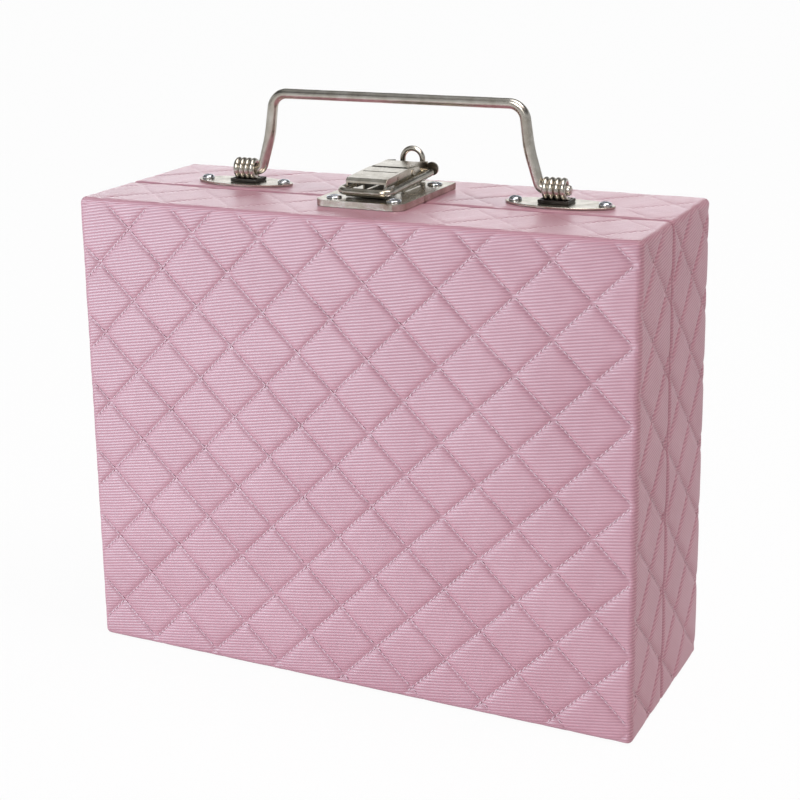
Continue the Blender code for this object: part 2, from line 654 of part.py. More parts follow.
def interior():
    """Padded rolls for rings on the left, and trays parted by dividers on the right."""
    rim = COVER_WALL + BOARD_WALL + 2 * GAP + LINING_WALL + GAP
    x_low, x_high = -WIDTH / 2 + rim, WIDTH / 2 - rim
    z_low, z_high = rim, HEIGHT - rim
    y_front = SEAM_Y + DIVIDER_SETBACK
    y_back = DEPTH / 2 - rim
    half = DIVIDER / 2
    box("divider_long", (-half, y_front, z_low), (half, y_back, z_high), "velvet", 0.8 * MM, 2)
    rolls_top = z_low + MM + LEAF + ROLLS * ROLL_PITCH
    for name, x0, x1, z in (("divider_left", x_low, -half - GAP, rolls_top + half + GAP),
                            ("divider_right_low", half + GAP, x_high, DIVIDER_HEIGHTS[0]),
                            ("divider_right_high", half + GAP, x_high, DIVIDER_HEIGHTS[1])):
        box(name, (x0, y_front, z - half), (x1, y_back, z + half), "velvet", 0.8 * MM, 2)
    bed_front = y_back - BED_DEPTH
    box("ring_bed", (x_low, bed_front, z_low), (-half - GAP, y_back, rolls_top - GAP), "velvet",
        0.5 * MM, 1)
    for index in range(ROLLS):
        z = z_low + MM + LEAF + (index + 0.5) * ROLL_PITCH
        reach = ROLL_PITCH / 2 - GAP / 2
        box(f"ring_roll_{index + 1}", (x_low + GAP, bed_front - GAP - ROLL_DEPTH, z - reach),
            (-half - 2 * GAP, bed_front - GAP, z + reach), "velvet", ROLL_ROUNDING, 3)


def mirror():
    """Mirror on the lid's inner face, held by a padded frame."""
    back_y = -DEPTH / 2 + COVER_WALL + BOARD_WALL + 2 * GAP + LINING_WALL + GAP
    middle_z = HEIGHT / 2
    w, h, t = MIRROR
    frame_w, frame_h = w / 2 + MIRROR_BORDER, h / 2 + MIRROR_BORDER
    frame = box("mirror_frame", (-frame_w, back_y, middle_z - frame_h),
                (frame_w, back_y + MIRROR_FRAME, middle_z + frame_h), "velvet", 1.5 * MM, 3)
    boolean(frame, box("mirror_pocket", (-w / 2 - GAP, back_y - MM, middle_z - h / 2 - GAP),
                       (w / 2 + GAP, back_y + t + 2 * GAP, middle_z + h / 2 + GAP)))
    sight_x, sight_z = w / 2 - MIRROR_SIGHT, h / 2 - MIRROR_SIGHT
    boolean(frame, box("mirror_sight", (-sight_x, back_y - MM, middle_z - sight_z),
                       (sight_x, back_y + 2 * MIRROR_FRAME, middle_z + sight_z)))
    box("lid_mirror", (-w / 2, back_y + GAP, middle_z - h / 2),
        (w / 2, back_y + GAP + t, middle_z + h / 2), "mirror")


def build():
    back, lid = case_halves()
    for side, sign in (("left", -1), ("right", 1)):
        hinge(side, sign * HINGE_X, back[0], lid[0], (back[2], lid[2]))
    plates = {side: handle_mount(side, sign) for side, sign in (("left", -1), ("right", 1))}
    bail()
    latch_xs = (-LATCH_SCREW_X, LATCH_SCREW_X)
    latch_plate("latch_front_plate", PLATE_FRONT, PLATE_SPLIT - PLATE_SPLIT_HALF, -1,
                [(x, LATCH_SCREW_Y[0]) for x in latch_xs])
    latch_plate("latch_rear_plate", PLATE_SPLIT + PLATE_SPLIT_HALF, PLATE_BACK, 0,
                [(x, LATCH_SCREW_Y[1]) for x in latch_xs])
    latch_hood()
    latch_lever()
    latch_rivet()
    latch_loop()
    padlock_staple()
    latch_catch()
    for name, x, y, plate, radius, height in screw_places():
        screw(name, x, y, plate, radius, height)
        half = lid if "front" in name else back
        screw_hole(name + "_hole", x, y, 3 * MM, (half[0], half[1]))
        if name.startswith("handle"):
            boolean(plates["left" if x < 0 else "right"], bpy.data.objects[name + "_hole"])
    interior()
    mirror()


build()
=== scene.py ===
"""Looks of the quilted jewelry case: leather, stitching, metalwork and velvet round the CAD frame."""

import json
import math

import bmesh
import bpy
import numpy as np
from mathutils import Matrix, Vector


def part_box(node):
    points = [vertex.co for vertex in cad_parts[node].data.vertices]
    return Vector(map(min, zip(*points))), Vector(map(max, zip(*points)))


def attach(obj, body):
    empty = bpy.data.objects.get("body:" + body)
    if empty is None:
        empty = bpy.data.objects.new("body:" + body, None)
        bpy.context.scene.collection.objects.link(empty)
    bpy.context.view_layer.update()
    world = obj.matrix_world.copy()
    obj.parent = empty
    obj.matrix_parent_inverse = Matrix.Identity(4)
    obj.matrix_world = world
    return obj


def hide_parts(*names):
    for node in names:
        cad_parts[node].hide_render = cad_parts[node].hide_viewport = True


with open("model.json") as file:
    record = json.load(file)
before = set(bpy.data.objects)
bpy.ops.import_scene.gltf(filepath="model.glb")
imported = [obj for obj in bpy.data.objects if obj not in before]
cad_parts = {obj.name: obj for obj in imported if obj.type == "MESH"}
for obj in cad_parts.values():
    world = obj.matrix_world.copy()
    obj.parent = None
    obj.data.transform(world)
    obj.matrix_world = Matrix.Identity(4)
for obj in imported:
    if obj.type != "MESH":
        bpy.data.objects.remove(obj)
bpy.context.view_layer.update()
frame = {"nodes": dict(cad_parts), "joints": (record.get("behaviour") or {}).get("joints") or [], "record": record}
NODES = frame["nodes"]
MM = 0.001


# Places taken from the frame

def joint_place(name):
    return Vector(next(j["pos_m"] for j in frame["joints"] if j["name"] == name))


CASE_LOW = Vector(map(min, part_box("back_cover")[0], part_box("lid_cover")[0]))
CASE_HIGH = Vector(map(max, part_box("back_cover")[1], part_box("lid_cover")[1]))
CASE_TOP = CASE_HIGH.z
HINGE_AXIS = joint_place("lid_hinge")
SEAM_Y = HINGE_AXIS.y


# Materials

def adder(tree):
    """A function that adds a node to the tree, links sockets to it and gives it its settings."""
    def node(kind, links=(), **settings):
        added = tree.nodes.new(kind)
        for key, value in settings.items():
            if key.startswith("in_"):
                added.inputs[key[3:].replace("_", " ")].default_value = value
            else:
                setattr(added, key, value)
        for socket, source in links:
            tree.links.new(source, added.inputs[socket])
        return added

    return node


def new_material(name, base, roughness, metallic=0.0, **inputs):
    """A Principled material, a function that adds nodes, and one that links to its shader."""
    made = bpy.data.materials.new(name)
    made.use_nodes = True
    tree = made.node_tree
    shader = tree.nodes["Principled BSDF"]
    inputs.update(Base_Color=(*base, 1.0), Roughness=roughness, Metallic=metallic)
    for key, value in inputs.items():
        shader.inputs[key.replace("_", " ")].default_value = value
    return made, adder(tree), lambda source, socket: tree.links.new(source, shader.inputs[socket])


def ramp(node, fac, stops):
    """A colour ramp with the given (place, colour) stops."""
    made = node("ShaderNodeValToRGB", [("Fac", fac)])
    elements = made.color_ramp.elements
    while len(elements) < len(stops):
        elements.new(0.5)
    for element, (place, colour) in zip(elements, stops):
        element.position = place
        element.color = (*colour, 1.0)
    return made.outputs["Color"]


def maths(node, operation, a, b=None):
    """One Math node; a number or a socket for each side."""
    made = node("ShaderNodeMath", operation=operation)
    for socket, value in zip(made.inputs, (a, b)):
        if value is None:
            continue
        if isinstance(value, (int, float)):
            socket.default_value = value
        else:
            socket.id_data.links.new(value, socket)
    return made.outputs[0]


def mixed(node, a, share_a, b, share_b):
    """share_a of one socket plus share_b of the other."""
    return maths(node, "ADD", maths(node, "MULTIPLY", a, share_a),
                 maths(node, "MULTIPLY", b, share_b))


def noise(node, place, scale, detail, roughness=0.5):
    made = node("ShaderNodeTexNoise", [("Vector", place)], in_Scale=scale, in_Detail=detail,
                in_Roughness=roughness)
    return made.outputs["Fac"]


def object_space(node):
    return node("ShaderNodeTexCoord").outputs["Object"]


def add_bump(node, link, height, strength, distance):
    made = node("ShaderNodeBump", [("Height", height)], in_Strength=strength, in_Distance=distance)
    link(made.outputs["Normal"], "Normal")



RIB_PITCH = 1.19 * MM
RIB_SLOPE = math.radians(9.7)
RIB_DRIFT = 0.5  # how far the ribs waver, in pitches
LEATHER_TONES = [(0.18, (0.42, 0.17, 0.215)), (0.62, (0.56, 0.26, 0.315)), (1.0, (0.66, 0.36, 0.42))]


def leather():
    """Satin artificial leather with fine ribs across it, in metres of cloth on its UV map."""
    made, node, link = new_material("leather", (0.6, 0.33, 0.41), 0.42, Sheen_Weight=0.12,
                                    Sheen_Roughness=0.5, Sheen_Tint=(0.85, 0.93, 1, 1),
                                    Specular_IOR_Level=0.65)
    cloth = node("ShaderNodeUVMap", uv_map="cloth").outputs["UV"]
    split = node("ShaderNodeSeparateXYZ", [("Vector", cloth)])
    pitches = mixed(node, split.outputs["Y"], math.cos(RIB_SLOPE) / RIB_PITCH,
                    split.outputs["X"], -math.sin(RIB_SLOPE) / RIB_PITCH)
    drift = maths(node, "MULTIPLY", noise(node, cloth, 40.0, 1.0), RIB_DRIFT)
    phase = maths(node, "MULTIPLY", maths(node, "ADD", pitches, drift), math.tau)
    rib = maths(node, "MULTIPLY", maths(node, "ADD", maths(node, "SINE", phase), 1.0), 0.5)
    grain = noise(node, cloth, 2600.0, 3.0, 0.6)
    patches = noise(node, cloth, 28.0, 4.0, 0.55)
    # The rib term makes the ribs' valleys darker in colour: painted shade in the grooves. The patches and the
    # grain are tone that varies at random.
    shade = maths(node, "ADD", mixed(node, rib, 0.5, patches, 0.45),
                  maths(node, "MULTIPLY", grain, 0.16))
    link(ramp(node, shade, LEATHER_TONES), "Base Color")
    link(maths(node, "ADD", mixed(node, grain, 0.16, rib, -0.08), 0.36), "Roughness")
    height = maths(node, "ADD", rib, maths(node, "MULTIPLY", grain, 0.35))
    add_bump(node, link, height, 0.7, 0.17 * MM)
    return made



def thread():
    """Twisted pink thread."""
    made, node, link = new_material("thread", (0.72, 0.45, 0.52), 0.28, Sheen_Weight=0.3,
                                    Specular_IOR_Level=0.6)
    twist = noise(node, object_space(node), 1800.0, 2.0)
    link(ramp(node, twist, [(0.3, (0.58, 0.32, 0.38)), (0.7, (0.84, 0.60, 0.66))]), "Base Color")
    add_bump(node, link, twist, 0.5, 0.05 * MM)
    return made



def plated(name, low, high, roughness, wear=0.10, tarnish=None):
    """Polished plate with fine scratches, cloudy roughness and darker tarnish in patches."""
    made, node, link = new_material(name, high, roughness, 1.0)
    place = object_space(node)
    cloud = noise(node, place, 160.0, 5.0, 0.6)
    stops = [(0.32, low), (0.62, high)]
    if tarnish:
        stops.insert(0, (0.24, tarnish))
    link(ramp(node, cloud, stops), "Base Color")
    stretch = node("ShaderNodeMapping", [("Vector", place)], in_Scale=(900.0, 260.0, 420.0))
    scratch = noise(node, stretch.outputs["Vector"], 2.0, 3.0)
    rough = mixed(node, scratch, wear, cloud, wear)
    link(maths(node, "ADD", rough, roughness - wear), "Roughness")
    add_bump(node, link, scratch, 0.12, 0.04 * MM)
    return made



def velvet():
    """Short pile, paler where it catches the light."""
    made, node, link = new_material("velvet", (0.5, 0.24, 0.31), 0.9, Sheen_Weight=0.9,
                                    Sheen_Roughness=0.35, Sheen_Tint=(1, 0.82, 0.86, 1),
                                    Specular_IOR_Level=0.2)
    place = object_space(node)
    pile = noise(node, place, 2400.0, 2.0)
    shade = mixed(node, pile, 0.5, noise(node, place, 55.0, 3.0), 0.5)
    link(ramp(node, shade, [(0.3, (0.4, 0.17, 0.235)), (0.7, (0.62, 0.34, 0.41))]), "Base Color")
    add_bump(node, link, pile, 0.6, 0.15 * MM)
    return made



def fibreboard():
    """Pressed grey-brown board with short fibres."""
    made, node, link = new_material("fibreboard", (0.42, 0.35, 0.26), 0.85)
    fibres = noise(node, object_space(node), 700.0, 6.0)
    link(ramp(node, fibres, [(0.3, (0.3, 0.24, 0.17)), (0.7, (0.5, 0.42, 0.32))]), "Base Color")
    add_bump(node, link, fibres, 0.4, 0.1 * MM)
    return made



def silvered():
    """Mirror glass, with a faint cloud in its reflection."""
    made, node, link = new_material("mirror", (0.9, 0.92, 0.93), 0.02, 1.0)
    link(maths(node, "MULTIPLY", noise(node, object_space(node), 40.0, 3.0), 0.05), "Roughness")
    return made



NICKEL = plated("nickel", (0.42, 0.375, 0.30), (0.70, 0.66, 0.585), 0.25, 0.08, (0.16, 0.135, 0.10))
WIRE_NICKEL = plated("wire_nickel", (0.50, 0.455, 0.385), (0.72, 0.685, 0.62), 0.25, 0.07)
# Near-black nickel for the saddles under the coils: painted shadow under each coil.
PAINTED_SHADOW_NICKEL = plated("dark_nickel", (0.03, 0.028, 0.025), (0.11, 0.10, 0.09), 0.32)
# Near-black nickel for faces inside and under the latch: painted shade.
PAINTED_SHADE_NICKEL = plated("painted_shade_nickel", (0.05, 0.045, 0.035), (0.17, 0.155, 0.13), 0.35)
STEEL = plated("screw_steel", (0.55, 0.57, 0.60), (0.83, 0.85, 0.89), 0.18, 0.06)
LEATHER = leather()
THREAD = thread()
VELVET = velvet()
BOARD = fibreboard()
MIRROR = silvered()


def finish_piece(obj, body, slot, *nodes):
    """A new piece rides on its body and stands for its CAD nodes; its slot is not used."""
    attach(obj, body)
    if nodes:
        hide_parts(*nodes)
    return obj


def link_mesh(name, mesh, finish):
    """A new object with its mesh and finish; the faces keep their material numbers."""
    places = np.zeros(len(mesh.polygons), int)
    mesh.polygons.foreach_get("material_index", places)
    mesh.materials.clear()
    mesh.materials.append(finish)
    mesh.polygons.foreach_set("material_index", places)
    obj = bpy.data.objects.new(name, mesh)
    bpy.context.scene.collection.objects.link(obj)
    return obj


def mesh_from(bm, name, sharp=None):
    """Ends a bmesh as a mesh; smooth, apart from edges sharper than this in degrees."""
    mesh = bpy.data.meshes.new(name)
    bm.to_mesh(mesh)
    bm.free()
    if sharp:
        mesh.shade_smooth()
        mesh.set_sharp_from_angle(angle=math.radians(sharp))
    return mesh


def bridge(bm, rings):
    """Quads between neighbouring rings of vertices."""
    for lower, upper in zip(rings, rings[1:]):
        for k in range(len(lower)):
            n = (k + 1) % len(lower)
            bm.faces.new((lower[k], lower[n], upper[n], upper[k]))


# Grids of points

def unit(vectors):
    return vectors / np.maximum(np.linalg.norm(vectors, axis=1, keepdims=True), 1e-9)


def smoothed(t):
    """A share from 0 to 1 that leaves both ends level."""
    return t * t * (3 - 2 * t)


def axis_steps(low, high, low_radius, high_radius, spacing):
    """Grid lines along one axis: even over the flat part, and finer round each edge."""
    flat_low, flat_high = low + low_radius, high - high_radius
    count = max(2, round((flat_high - flat_low) / spacing))
    return np.concatenate([np.linspace(low, flat_low, 5, endpoint=False),
                           np.linspace(flat_low, flat_high, count, endpoint=False),
                           np.linspace(flat_high, high, 6)])


def flat_grid(us, vs, u_axis, v_axis, level):
    """Points spread over two axes, at one level of the third, and their quads."""
    uu, vv = np.meshgrid(us, vs, indexing="ij")
    points = np.full((uu.size, 3), level)
    points[:, u_axis], points[:, v_axis] = uu.ravel(), vv.ravel()
    i, j = np.meshgrid(np.arange(len(us) - 1), np.arange(len(vs) - 1), indexing="ij")
    corner = (i * len(vs) + j).ravel()
    return points, np.stack([corner, corner + len(vs), corner + len(vs) + 1, corner + 1], 1)


def welded(points):
    """The first of each group of points that coincide, and each point's group."""
    keys = np.round(points * 1e7).astype(np.int64)
    _, first, groups = np.unique(keys, axis=0, return_index=True, return_inverse=True)
    return first, groups.reshape(-1)



# Quilted leather

CASE_RADIUS = 2.4 * MM  # the case's outer edges
SEAM_RADIUS = 2.0 * MM  # leather turned in at the seam
TURN_RADIUS = 3.7 * MM  # the same along the lower edge, beside the hinges
KNUCKLE = 2.0 * MM  # kept free round the hinges' axis
SEAM_GAP = 0.2 * MM  # from the middle of the seam to each half
GRID = 0.95 * MM
SNAP = 0.36 * GRID  # grid points this near to a sewn line are moved onto it
DIAMOND = Vector((29.2 * MM, 28.8 * MM))
CREASE_DEPTH = 0.8 * MM
CREASE_REACH = 0.95 * MM
PINCH_LIMIT = 1.12  # of that depth, where two lines cross
CROWN = 0.1 * MM
DEPTH_SHARE = (1.35, 1.0, 0.4)  # of that depth on the sides, the front and back, and the top
EDGE_CALM = 5.0 * MM  # from an edge to where the quilting has its full depth
EDGE_SHARE = 0.22  # of that depth, at an edge
FLAT_HEIGHT = 0.12 * MM  # of leather pressed under the metal plates
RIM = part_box("back_lining")[0].z  # from the case's outside to its lining
RIM_DEPTH = 2.8 * MM
WALL = 2.0 * MM


def half_box(sign):
    """The y of the seam's edge, and the corners of the lid (sign -1) or the back (sign 1)."""
    seam = SEAM_Y + sign * SEAM_GAP
    far = CASE_HIGH.y if sign > 0 else CASE_LOW.y
    return (seam, np.array([CASE_LOW.x, min(seam, far), CASE_LOW.z]),
            np.array([CASE_HIGH.x, max(seam, far), CASE_TOP]))


class Quilt:
    """A diamond lattice on one face: its node nearest the middle, and its turn in degrees."""

    def __init__(self, node, turn):
        self.node = node
        self.c, self.s = math.cos(math.radians(turn)), math.sin(math.radians(turn))

    def lattice(self, u, v):
        """Coordinates whose whole numbers are the two families of sewn lines."""
        du, dv = u - self.node[0], v - self.node[1]
        p = (self.c * du + self.s * dv) / DIAMOND.x
        q = (-self.s * du + self.c * dv) / DIAMOND.y
        return p + q, p - q

    def plane(self, a, b):
        """The cloth coordinates of a place on the lattice."""
        p, q = (a + b) / 2 * DIAMOND.x, (a - b) / 2 * DIAMOND.y
        return (self.node[0] + self.c * p - self.s * q, self.node[1] + self.s * p + self.c * q)


LINE_GAP = DIAMOND.x * DIAMOND.y / DIAMOND.length  # between neighbouring lines of a family


def crown(a, b):
    """Height of the padding: full in the middle of a diamond, pinched along its lines."""
    puff, pinch = 1.0, 0.0
    for line in (a, b):
        away = np.abs(line - np.round(line)) * LINE_GAP
        puff = puff * np.sin(np.pi * np.clip(away / LINE_GAP, 0, 0.5))
        pinch = pinch + np.exp(-away / CREASE_REACH)
    return CROWN * puff - CREASE_DEPTH * np.minimum(pinch, PINCH_LIMIT)



def ripple(x, y, z):
    """Small unevenness of the padding, the same everywhere in the case's space."""
    total = 0.0
    for size, strength, shift in ((31, 0.04, 0.0), (17, 0.035, 1.7), (9.3, 0.03, 4.1)):
        k = math.tau / (size * MM)
        total = total + (strength * MM * np.sin(k * (x + 0.4 * z) + shift)
                         * np.cos(k * (0.7 * z - 0.3 * x + y) + 2.1 * shift))
    return total



def calm(points, low, high, sign):
    """Share of the quilting's depth: small where the leather is drawn tight over an edge."""
    away = np.stack([points - low, high - points], 1).reshape(len(points), 6)
    away[:, 1 if sign > 0 else 4] += 2.0 * MM  # less so at the seam
    nearest = np.sort(away, axis=1)[:, 1]  # the least is the face's own
    return EDGE_SHARE + (1 - EDGE_SHARE) * smoothed(np.clip(nearest / EDGE_CALM, 0, 1))



class Face:
    """One face of a half: which axes it spans and how the cloth lies on it."""

    def __init__(self, normal_axis, sign, u_axis, v_axis, cloth, quilt):
        self.normal_axis, self.sign = normal_axis, sign
        self.u_axis, self.v_axis = u_axis, v_axis
        self.cloth, self.quilt = cloth, quilt

    def senses(self, point):
        """How each cloth coordinate grows along the three axes."""
        here = self.cloth(point)
        ahead = [self.cloth(point + np.eye(3)[[k]]) for k in range(3)]
        return [np.array([there[part][0] - here[part][0] for there in ahead]) for part in (0, 1)]



def case_faces(sign):
    """The five covered faces of the lid (sign -1) or the back (sign 1)."""
    half_w, front = CASE_HIGH.x, CASE_LOW.y
    main = Quilt((-3.3 * MM, 90.6 * MM), 0.85)
    if sign < 0:
        right = Quilt((half_w + 18.5 * MM, 90.0 * MM), 2.0)
        left = Quilt((-half_w - 10.6 * MM, 88.9 * MM), 0.85)
        top = Quilt((-3.3 * MM, 177.2 * MM), 0.85)
        bottom = Quilt((-3.3 * MM, 4.2 * MM), 0.85)
    else:
        right = Quilt((half_w + 51.4 * MM, 89.1 * MM), 1.7)
        left = Quilt((-half_w - 55.0 * MM, 92.0 * MM), -1.0)
        top = Quilt((4.0 * MM, CASE_TOP + 52.0 * MM), 0.5)
        bottom = Quilt((4.0 * MM, -52.0 * MM), 0.5)
    return [Face(1, sign, 0, 2, lambda p: (p[:, 0], p[:, 2]), main),
            Face(0, 1, 1, 2, lambda p: (half_w + (p[:, 1] - front), p[:, 2]), right),
            Face(0, -1, 1, 2, lambda p: (-half_w - (p[:, 1] - front), p[:, 2]), left),
            Face(2, 1, 0, 1, lambda p: (p[:, 0], CASE_TOP + (p[:, 1] - front)), top),
            Face(2, -1, 0, 1, lambda p: (p[:, 0], -(p[:, 1] - front)), bottom)]



def snapped(face, points, free):
    """Moves grid points that are next to a sewn line onto it, so that each line is an edge."""
    u, v = face.cloth(points)
    lines = [np.where(np.abs(line - np.round(line)) < SNAP / LINE_GAP, np.round(line), line)
             for line in face.quilt.lattice(u, v)]
    u_new, v_new = face.quilt.plane(*lines)
    du, dv = face.senses(points[:1])
    moved = points.copy()
    moved[free, face.u_axis] += du[face.u_axis] * (u_new - u)[free]
    moved[free, face.v_axis] += dv[face.v_axis] * (v_new - v)[free]
    return moved



# The metal plates on the case's top, each with how its outline is measured
PLATES = (("handle_plate_left", np.hypot), ("handle_plate_right", np.hypot),
          ("latch_front_plate", np.maximum), ("latch_rear_plate", np.maximum))


def pressed(x, y, z):
    """1 where a metal plate holds the leather flat, falling to 0 a little outside it."""
    result = np.zeros_like(x)
    for name, measure in PLATES:
        low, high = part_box(name)
        centre, half = (low + high) / 2, (high - low) / 2
        reach = measure(np.abs(x - centre.x) / half.x, np.abs(y - centre.y) / half.y)
        result = np.maximum(result, np.clip((1.42 - reach) / 0.4, 0, 1))
    return np.where(z > CASE_TOP - 4 * MM, smoothed(result), 0.0)



def split_rule(a, b, quad):
    """0 for a plain quad; beside a sewn line, 1 or 2 for the diagonal that follows it."""
    first, second, near = 0.0, 0.0, False
    for line in (a, b):
        middle = line[quad].mean(1)
        met = (np.round(middle)[:, None] == line[quad].round(6)).any(1)
        first = first + np.abs(line[quad[:, 0]] - line[quad[:, 2]]) * met
        second = second + np.abs(line[quad[:, 1]] - line[quad[:, 3]]) * met
        near = near | (np.abs(middle - np.round(middle)) * LINE_GAP < 1.2 * GRID)
    return np.where(near, np.where(first <= second, 1, 2), 0)


def quilted_cover(name, sign):
    """The leather over one half, turned in round its rim and down to the lining."""
    seam, low, high = half_box(sign)
    outer, inner = np.full(3, CASE_RADIUS), np.array([CASE_RADIUS, SEAM_RADIUS, CASE_RADIUS])
    radius_low, radius_high = (inner, outer) if sign > 0 else (outer, inner)
    steps = [axis_steps(*ends, GRID) for ends in zip(low, high, radius_low, radius_high)]
    faces = case_faces(sign)
    grids, quads, rules, uvs = [], [], [], []
    offset = 0
    for face in faces:
        spans = [face.u_axis, face.v_axis]
        level = (high if face.sign > 0 else low)[face.normal_axis]
        grid, quad = flat_grid(*(steps[axis] for axis in spans), *spans, level)
        free = (grid > low + radius_low * 0.5) & (grid < high - radius_high * 0.5)
        grid = snapped(face, grid, free[:, spans].all(axis=1))
        u, v = face.cloth(grid)
        # Faces look outwards.
        turn = np.cross(grid[quad[:, 1]] - grid[quad[:, 0]], grid[quad[:, 3]] - grid[quad[:, 0]])
        if face.sign * turn[:, face.normal_axis].mean() < 0:
            quad = quad[:, ::-1]
        grids.append(grid)
        quads.append(quad + offset)
        rules.append(split_rule(*face.quilt.lattice(u, v), quad))
        uvs.append(np.stack([u, v], 1))
        offset += len(grid)

    flat = np.concatenate(grids)
    core = np.clip(flat, low + radius_low, high - radius_high)
    radii = np.where(flat > (low + high) / 2, radius_high, radius_low)
    direction = unit((flat - core) / radii)
    placed = core + direction * radii
    normal = unit(direction / radii)
    # Each face's own lattice shows on its flat part, and they blend round the edges.
    height, total = np.zeros(len(flat)), np.zeros(len(flat))
    for face in faces:
        share = np.clip(normal[:, face.normal_axis] * face.sign, 0, 1) ** 2
        lines = face.quilt.lattice(*face.cloth(flat))
        height += share * crown(*lines) * DEPTH_SHARE[face.normal_axis]
        total += share
    height /= np.maximum(total, 1e-6)
    height = (height + ripple(*placed.T)) * calm(placed, low, high, sign)
    hold = pressed(*placed.T)
    height = height * (1 - hold) + FLAT_HEIGHT * hold
    # The seam side has no lattice: the leather is pulled flat round its edge.
    height = height * (1 - np.clip(-sign * normal[:, 1], 0, 1)) ** 1.5
    # Nothing stands out under the case, which rests on its flat lower face.
    height = height - np.clip(-normal[:, 2], 0, 1) * np.maximum(height, 0)
    shape = placed + normal * height[:, None]

    first, merged = welded(placed)
    quads, rule, uv = np.concatenate(quads), np.concatenate(rules), np.concatenate(uvs)
    plain, one, two = (quads[rule == k] for k in range(3))
    tris = np.concatenate([one[:, [0, 1, 2]], one[:, [0, 2, 3]], two[:, [0, 1, 3]], two[:, [1, 2, 3]]])
    corners = np.concatenate([plain.ravel(), tris.ravel()])
    at_seam = np.abs(flat[:, 1] - seam) < 1e-7
    verts, added, added_sizes = turned_rim(shape[first], merged[at_seam], flat[at_seam][:, [0, 2]],
                                           sign, low, high, seam)
    added_uv = np.stack([verts[added][:, 0], verts[added][:, 2] + verts[added][:, 1]], 1)
    sizes = np.concatenate([np.full(len(plain), 4), np.full(len(tris), 3), added_sizes])
    mesh = mesh_of(name, verts, np.concatenate([merged[corners], added]), sizes,
                   np.concatenate([uv[corners], added_uv]))
    obj = link_mesh(name, mesh, LEATHER)
    clear_hinges(obj, sign)
    return obj



def turned_rim(verts, ids, plan, sign, low, high, seam):
    """Adds the leather's flat rim, its turn inwards, and the inner side that closes the shape.

    Returns all vertices, and the corners and sizes of the new faces.
    """
    _, first = np.unique(ids, return_index=True)
    middle, half = (low + high)[[0, 2]] / 2, (high - low)[[0, 2]] / 2
    rel = (plan[first] - middle) / half
    order = np.argsort(np.arctan2(rel[:, 1], rel[:, 0]))  # round the rectangle
    previous, rel = ids[first][order], rel[order]
    count = len(previous)
    following = np.roll(np.arange(count), -1)
    deep = (high[1] if sign > 0 else low[1]) - sign * WALL
    rings = [(inset, seam) for inset in np.linspace(SEAM_RADIUS, RIM - 0.5 * MM, 4)]
    rings += [(RIM - 0.15 * MM, seam + sign * 0.15 * MM), (RIM, seam + sign * 0.5 * MM),
              (RIM, seam + sign * RIM_DEPTH), (WALL, seam + sign * RIM_DEPTH), (WALL, deep)]
    points, corners, sizes = [verts], [], []
    for k, (inset, y) in enumerate(rings):
        ring = rel * (half - inset) + middle
        points.append(np.stack([ring[:, 0], np.full(count, y), ring[:, 1]], 1))
        current = len(verts) + k * count + np.arange(count)
        quad = np.stack([previous, previous[following], current[following], current], 1)
        corners.append((quad if sign > 0 else quad[:, ::-1]).ravel())
        sizes.append(np.full(count, 4))
        previous = current
    corners.append(previous if sign > 0 else previous[::-1])
    sizes.append([count])
    return np.concatenate(points), np.concatenate(corners), np.concatenate(sizes)



def mesh_of(name, verts, loop_verts, sizes, loop_uv=None):
    """A mesh from arrays of vertices, corners and polygon sizes."""
    mesh = bpy.data.meshes.new(name)
    mesh.vertices.add(len(verts))
    mesh.vertices.foreach_set("co", np.asarray(verts, np.float32).ravel())
    mesh.loops.add(len(loop_verts))
    mesh.loops.foreach_set("vertex_index", np.asarray(loop_verts, np.int32))
    mesh.polygons.add(len(sizes))
    starts = np.concatenate([[0], np.cumsum(sizes)[:-1]])
    mesh.polygons.foreach_set("loop_start", starts.astype(np.int32))
    mesh.update(calc_edges=True)
    if loop_uv is not None:
        layer = mesh.uv_layers.new(name="cloth")
        layer.data.foreach_set("uv", np.asarray(loop_uv, np.float32).ravel())
    mesh.validate()
    mesh.shade_smooth()
    return mesh


STITCH_PITCH = 2.3 * MM
STITCH_LENGTH = 1.75 * MM
STITCH_RADIUS = 0.24 * MM
STITCH_SLANT = math.radians(7)
STITCH_SIDES = 6
STITCH_RINGS = ((-0.5, -0.35, 0.35), (-0.38, 0.0, 0.8), (0.0, 0.35, 1.0), (0.38, 0.0, 0.8),
                (0.5, -0.35, 0.35))  # place along it, height and width, of each ring of a stitch
SEWN_EDGE = 2.6 * MM  # from an edge to the first stitch
CROSSING = 0.8 * MM  # free of stitches at each side of a crossing


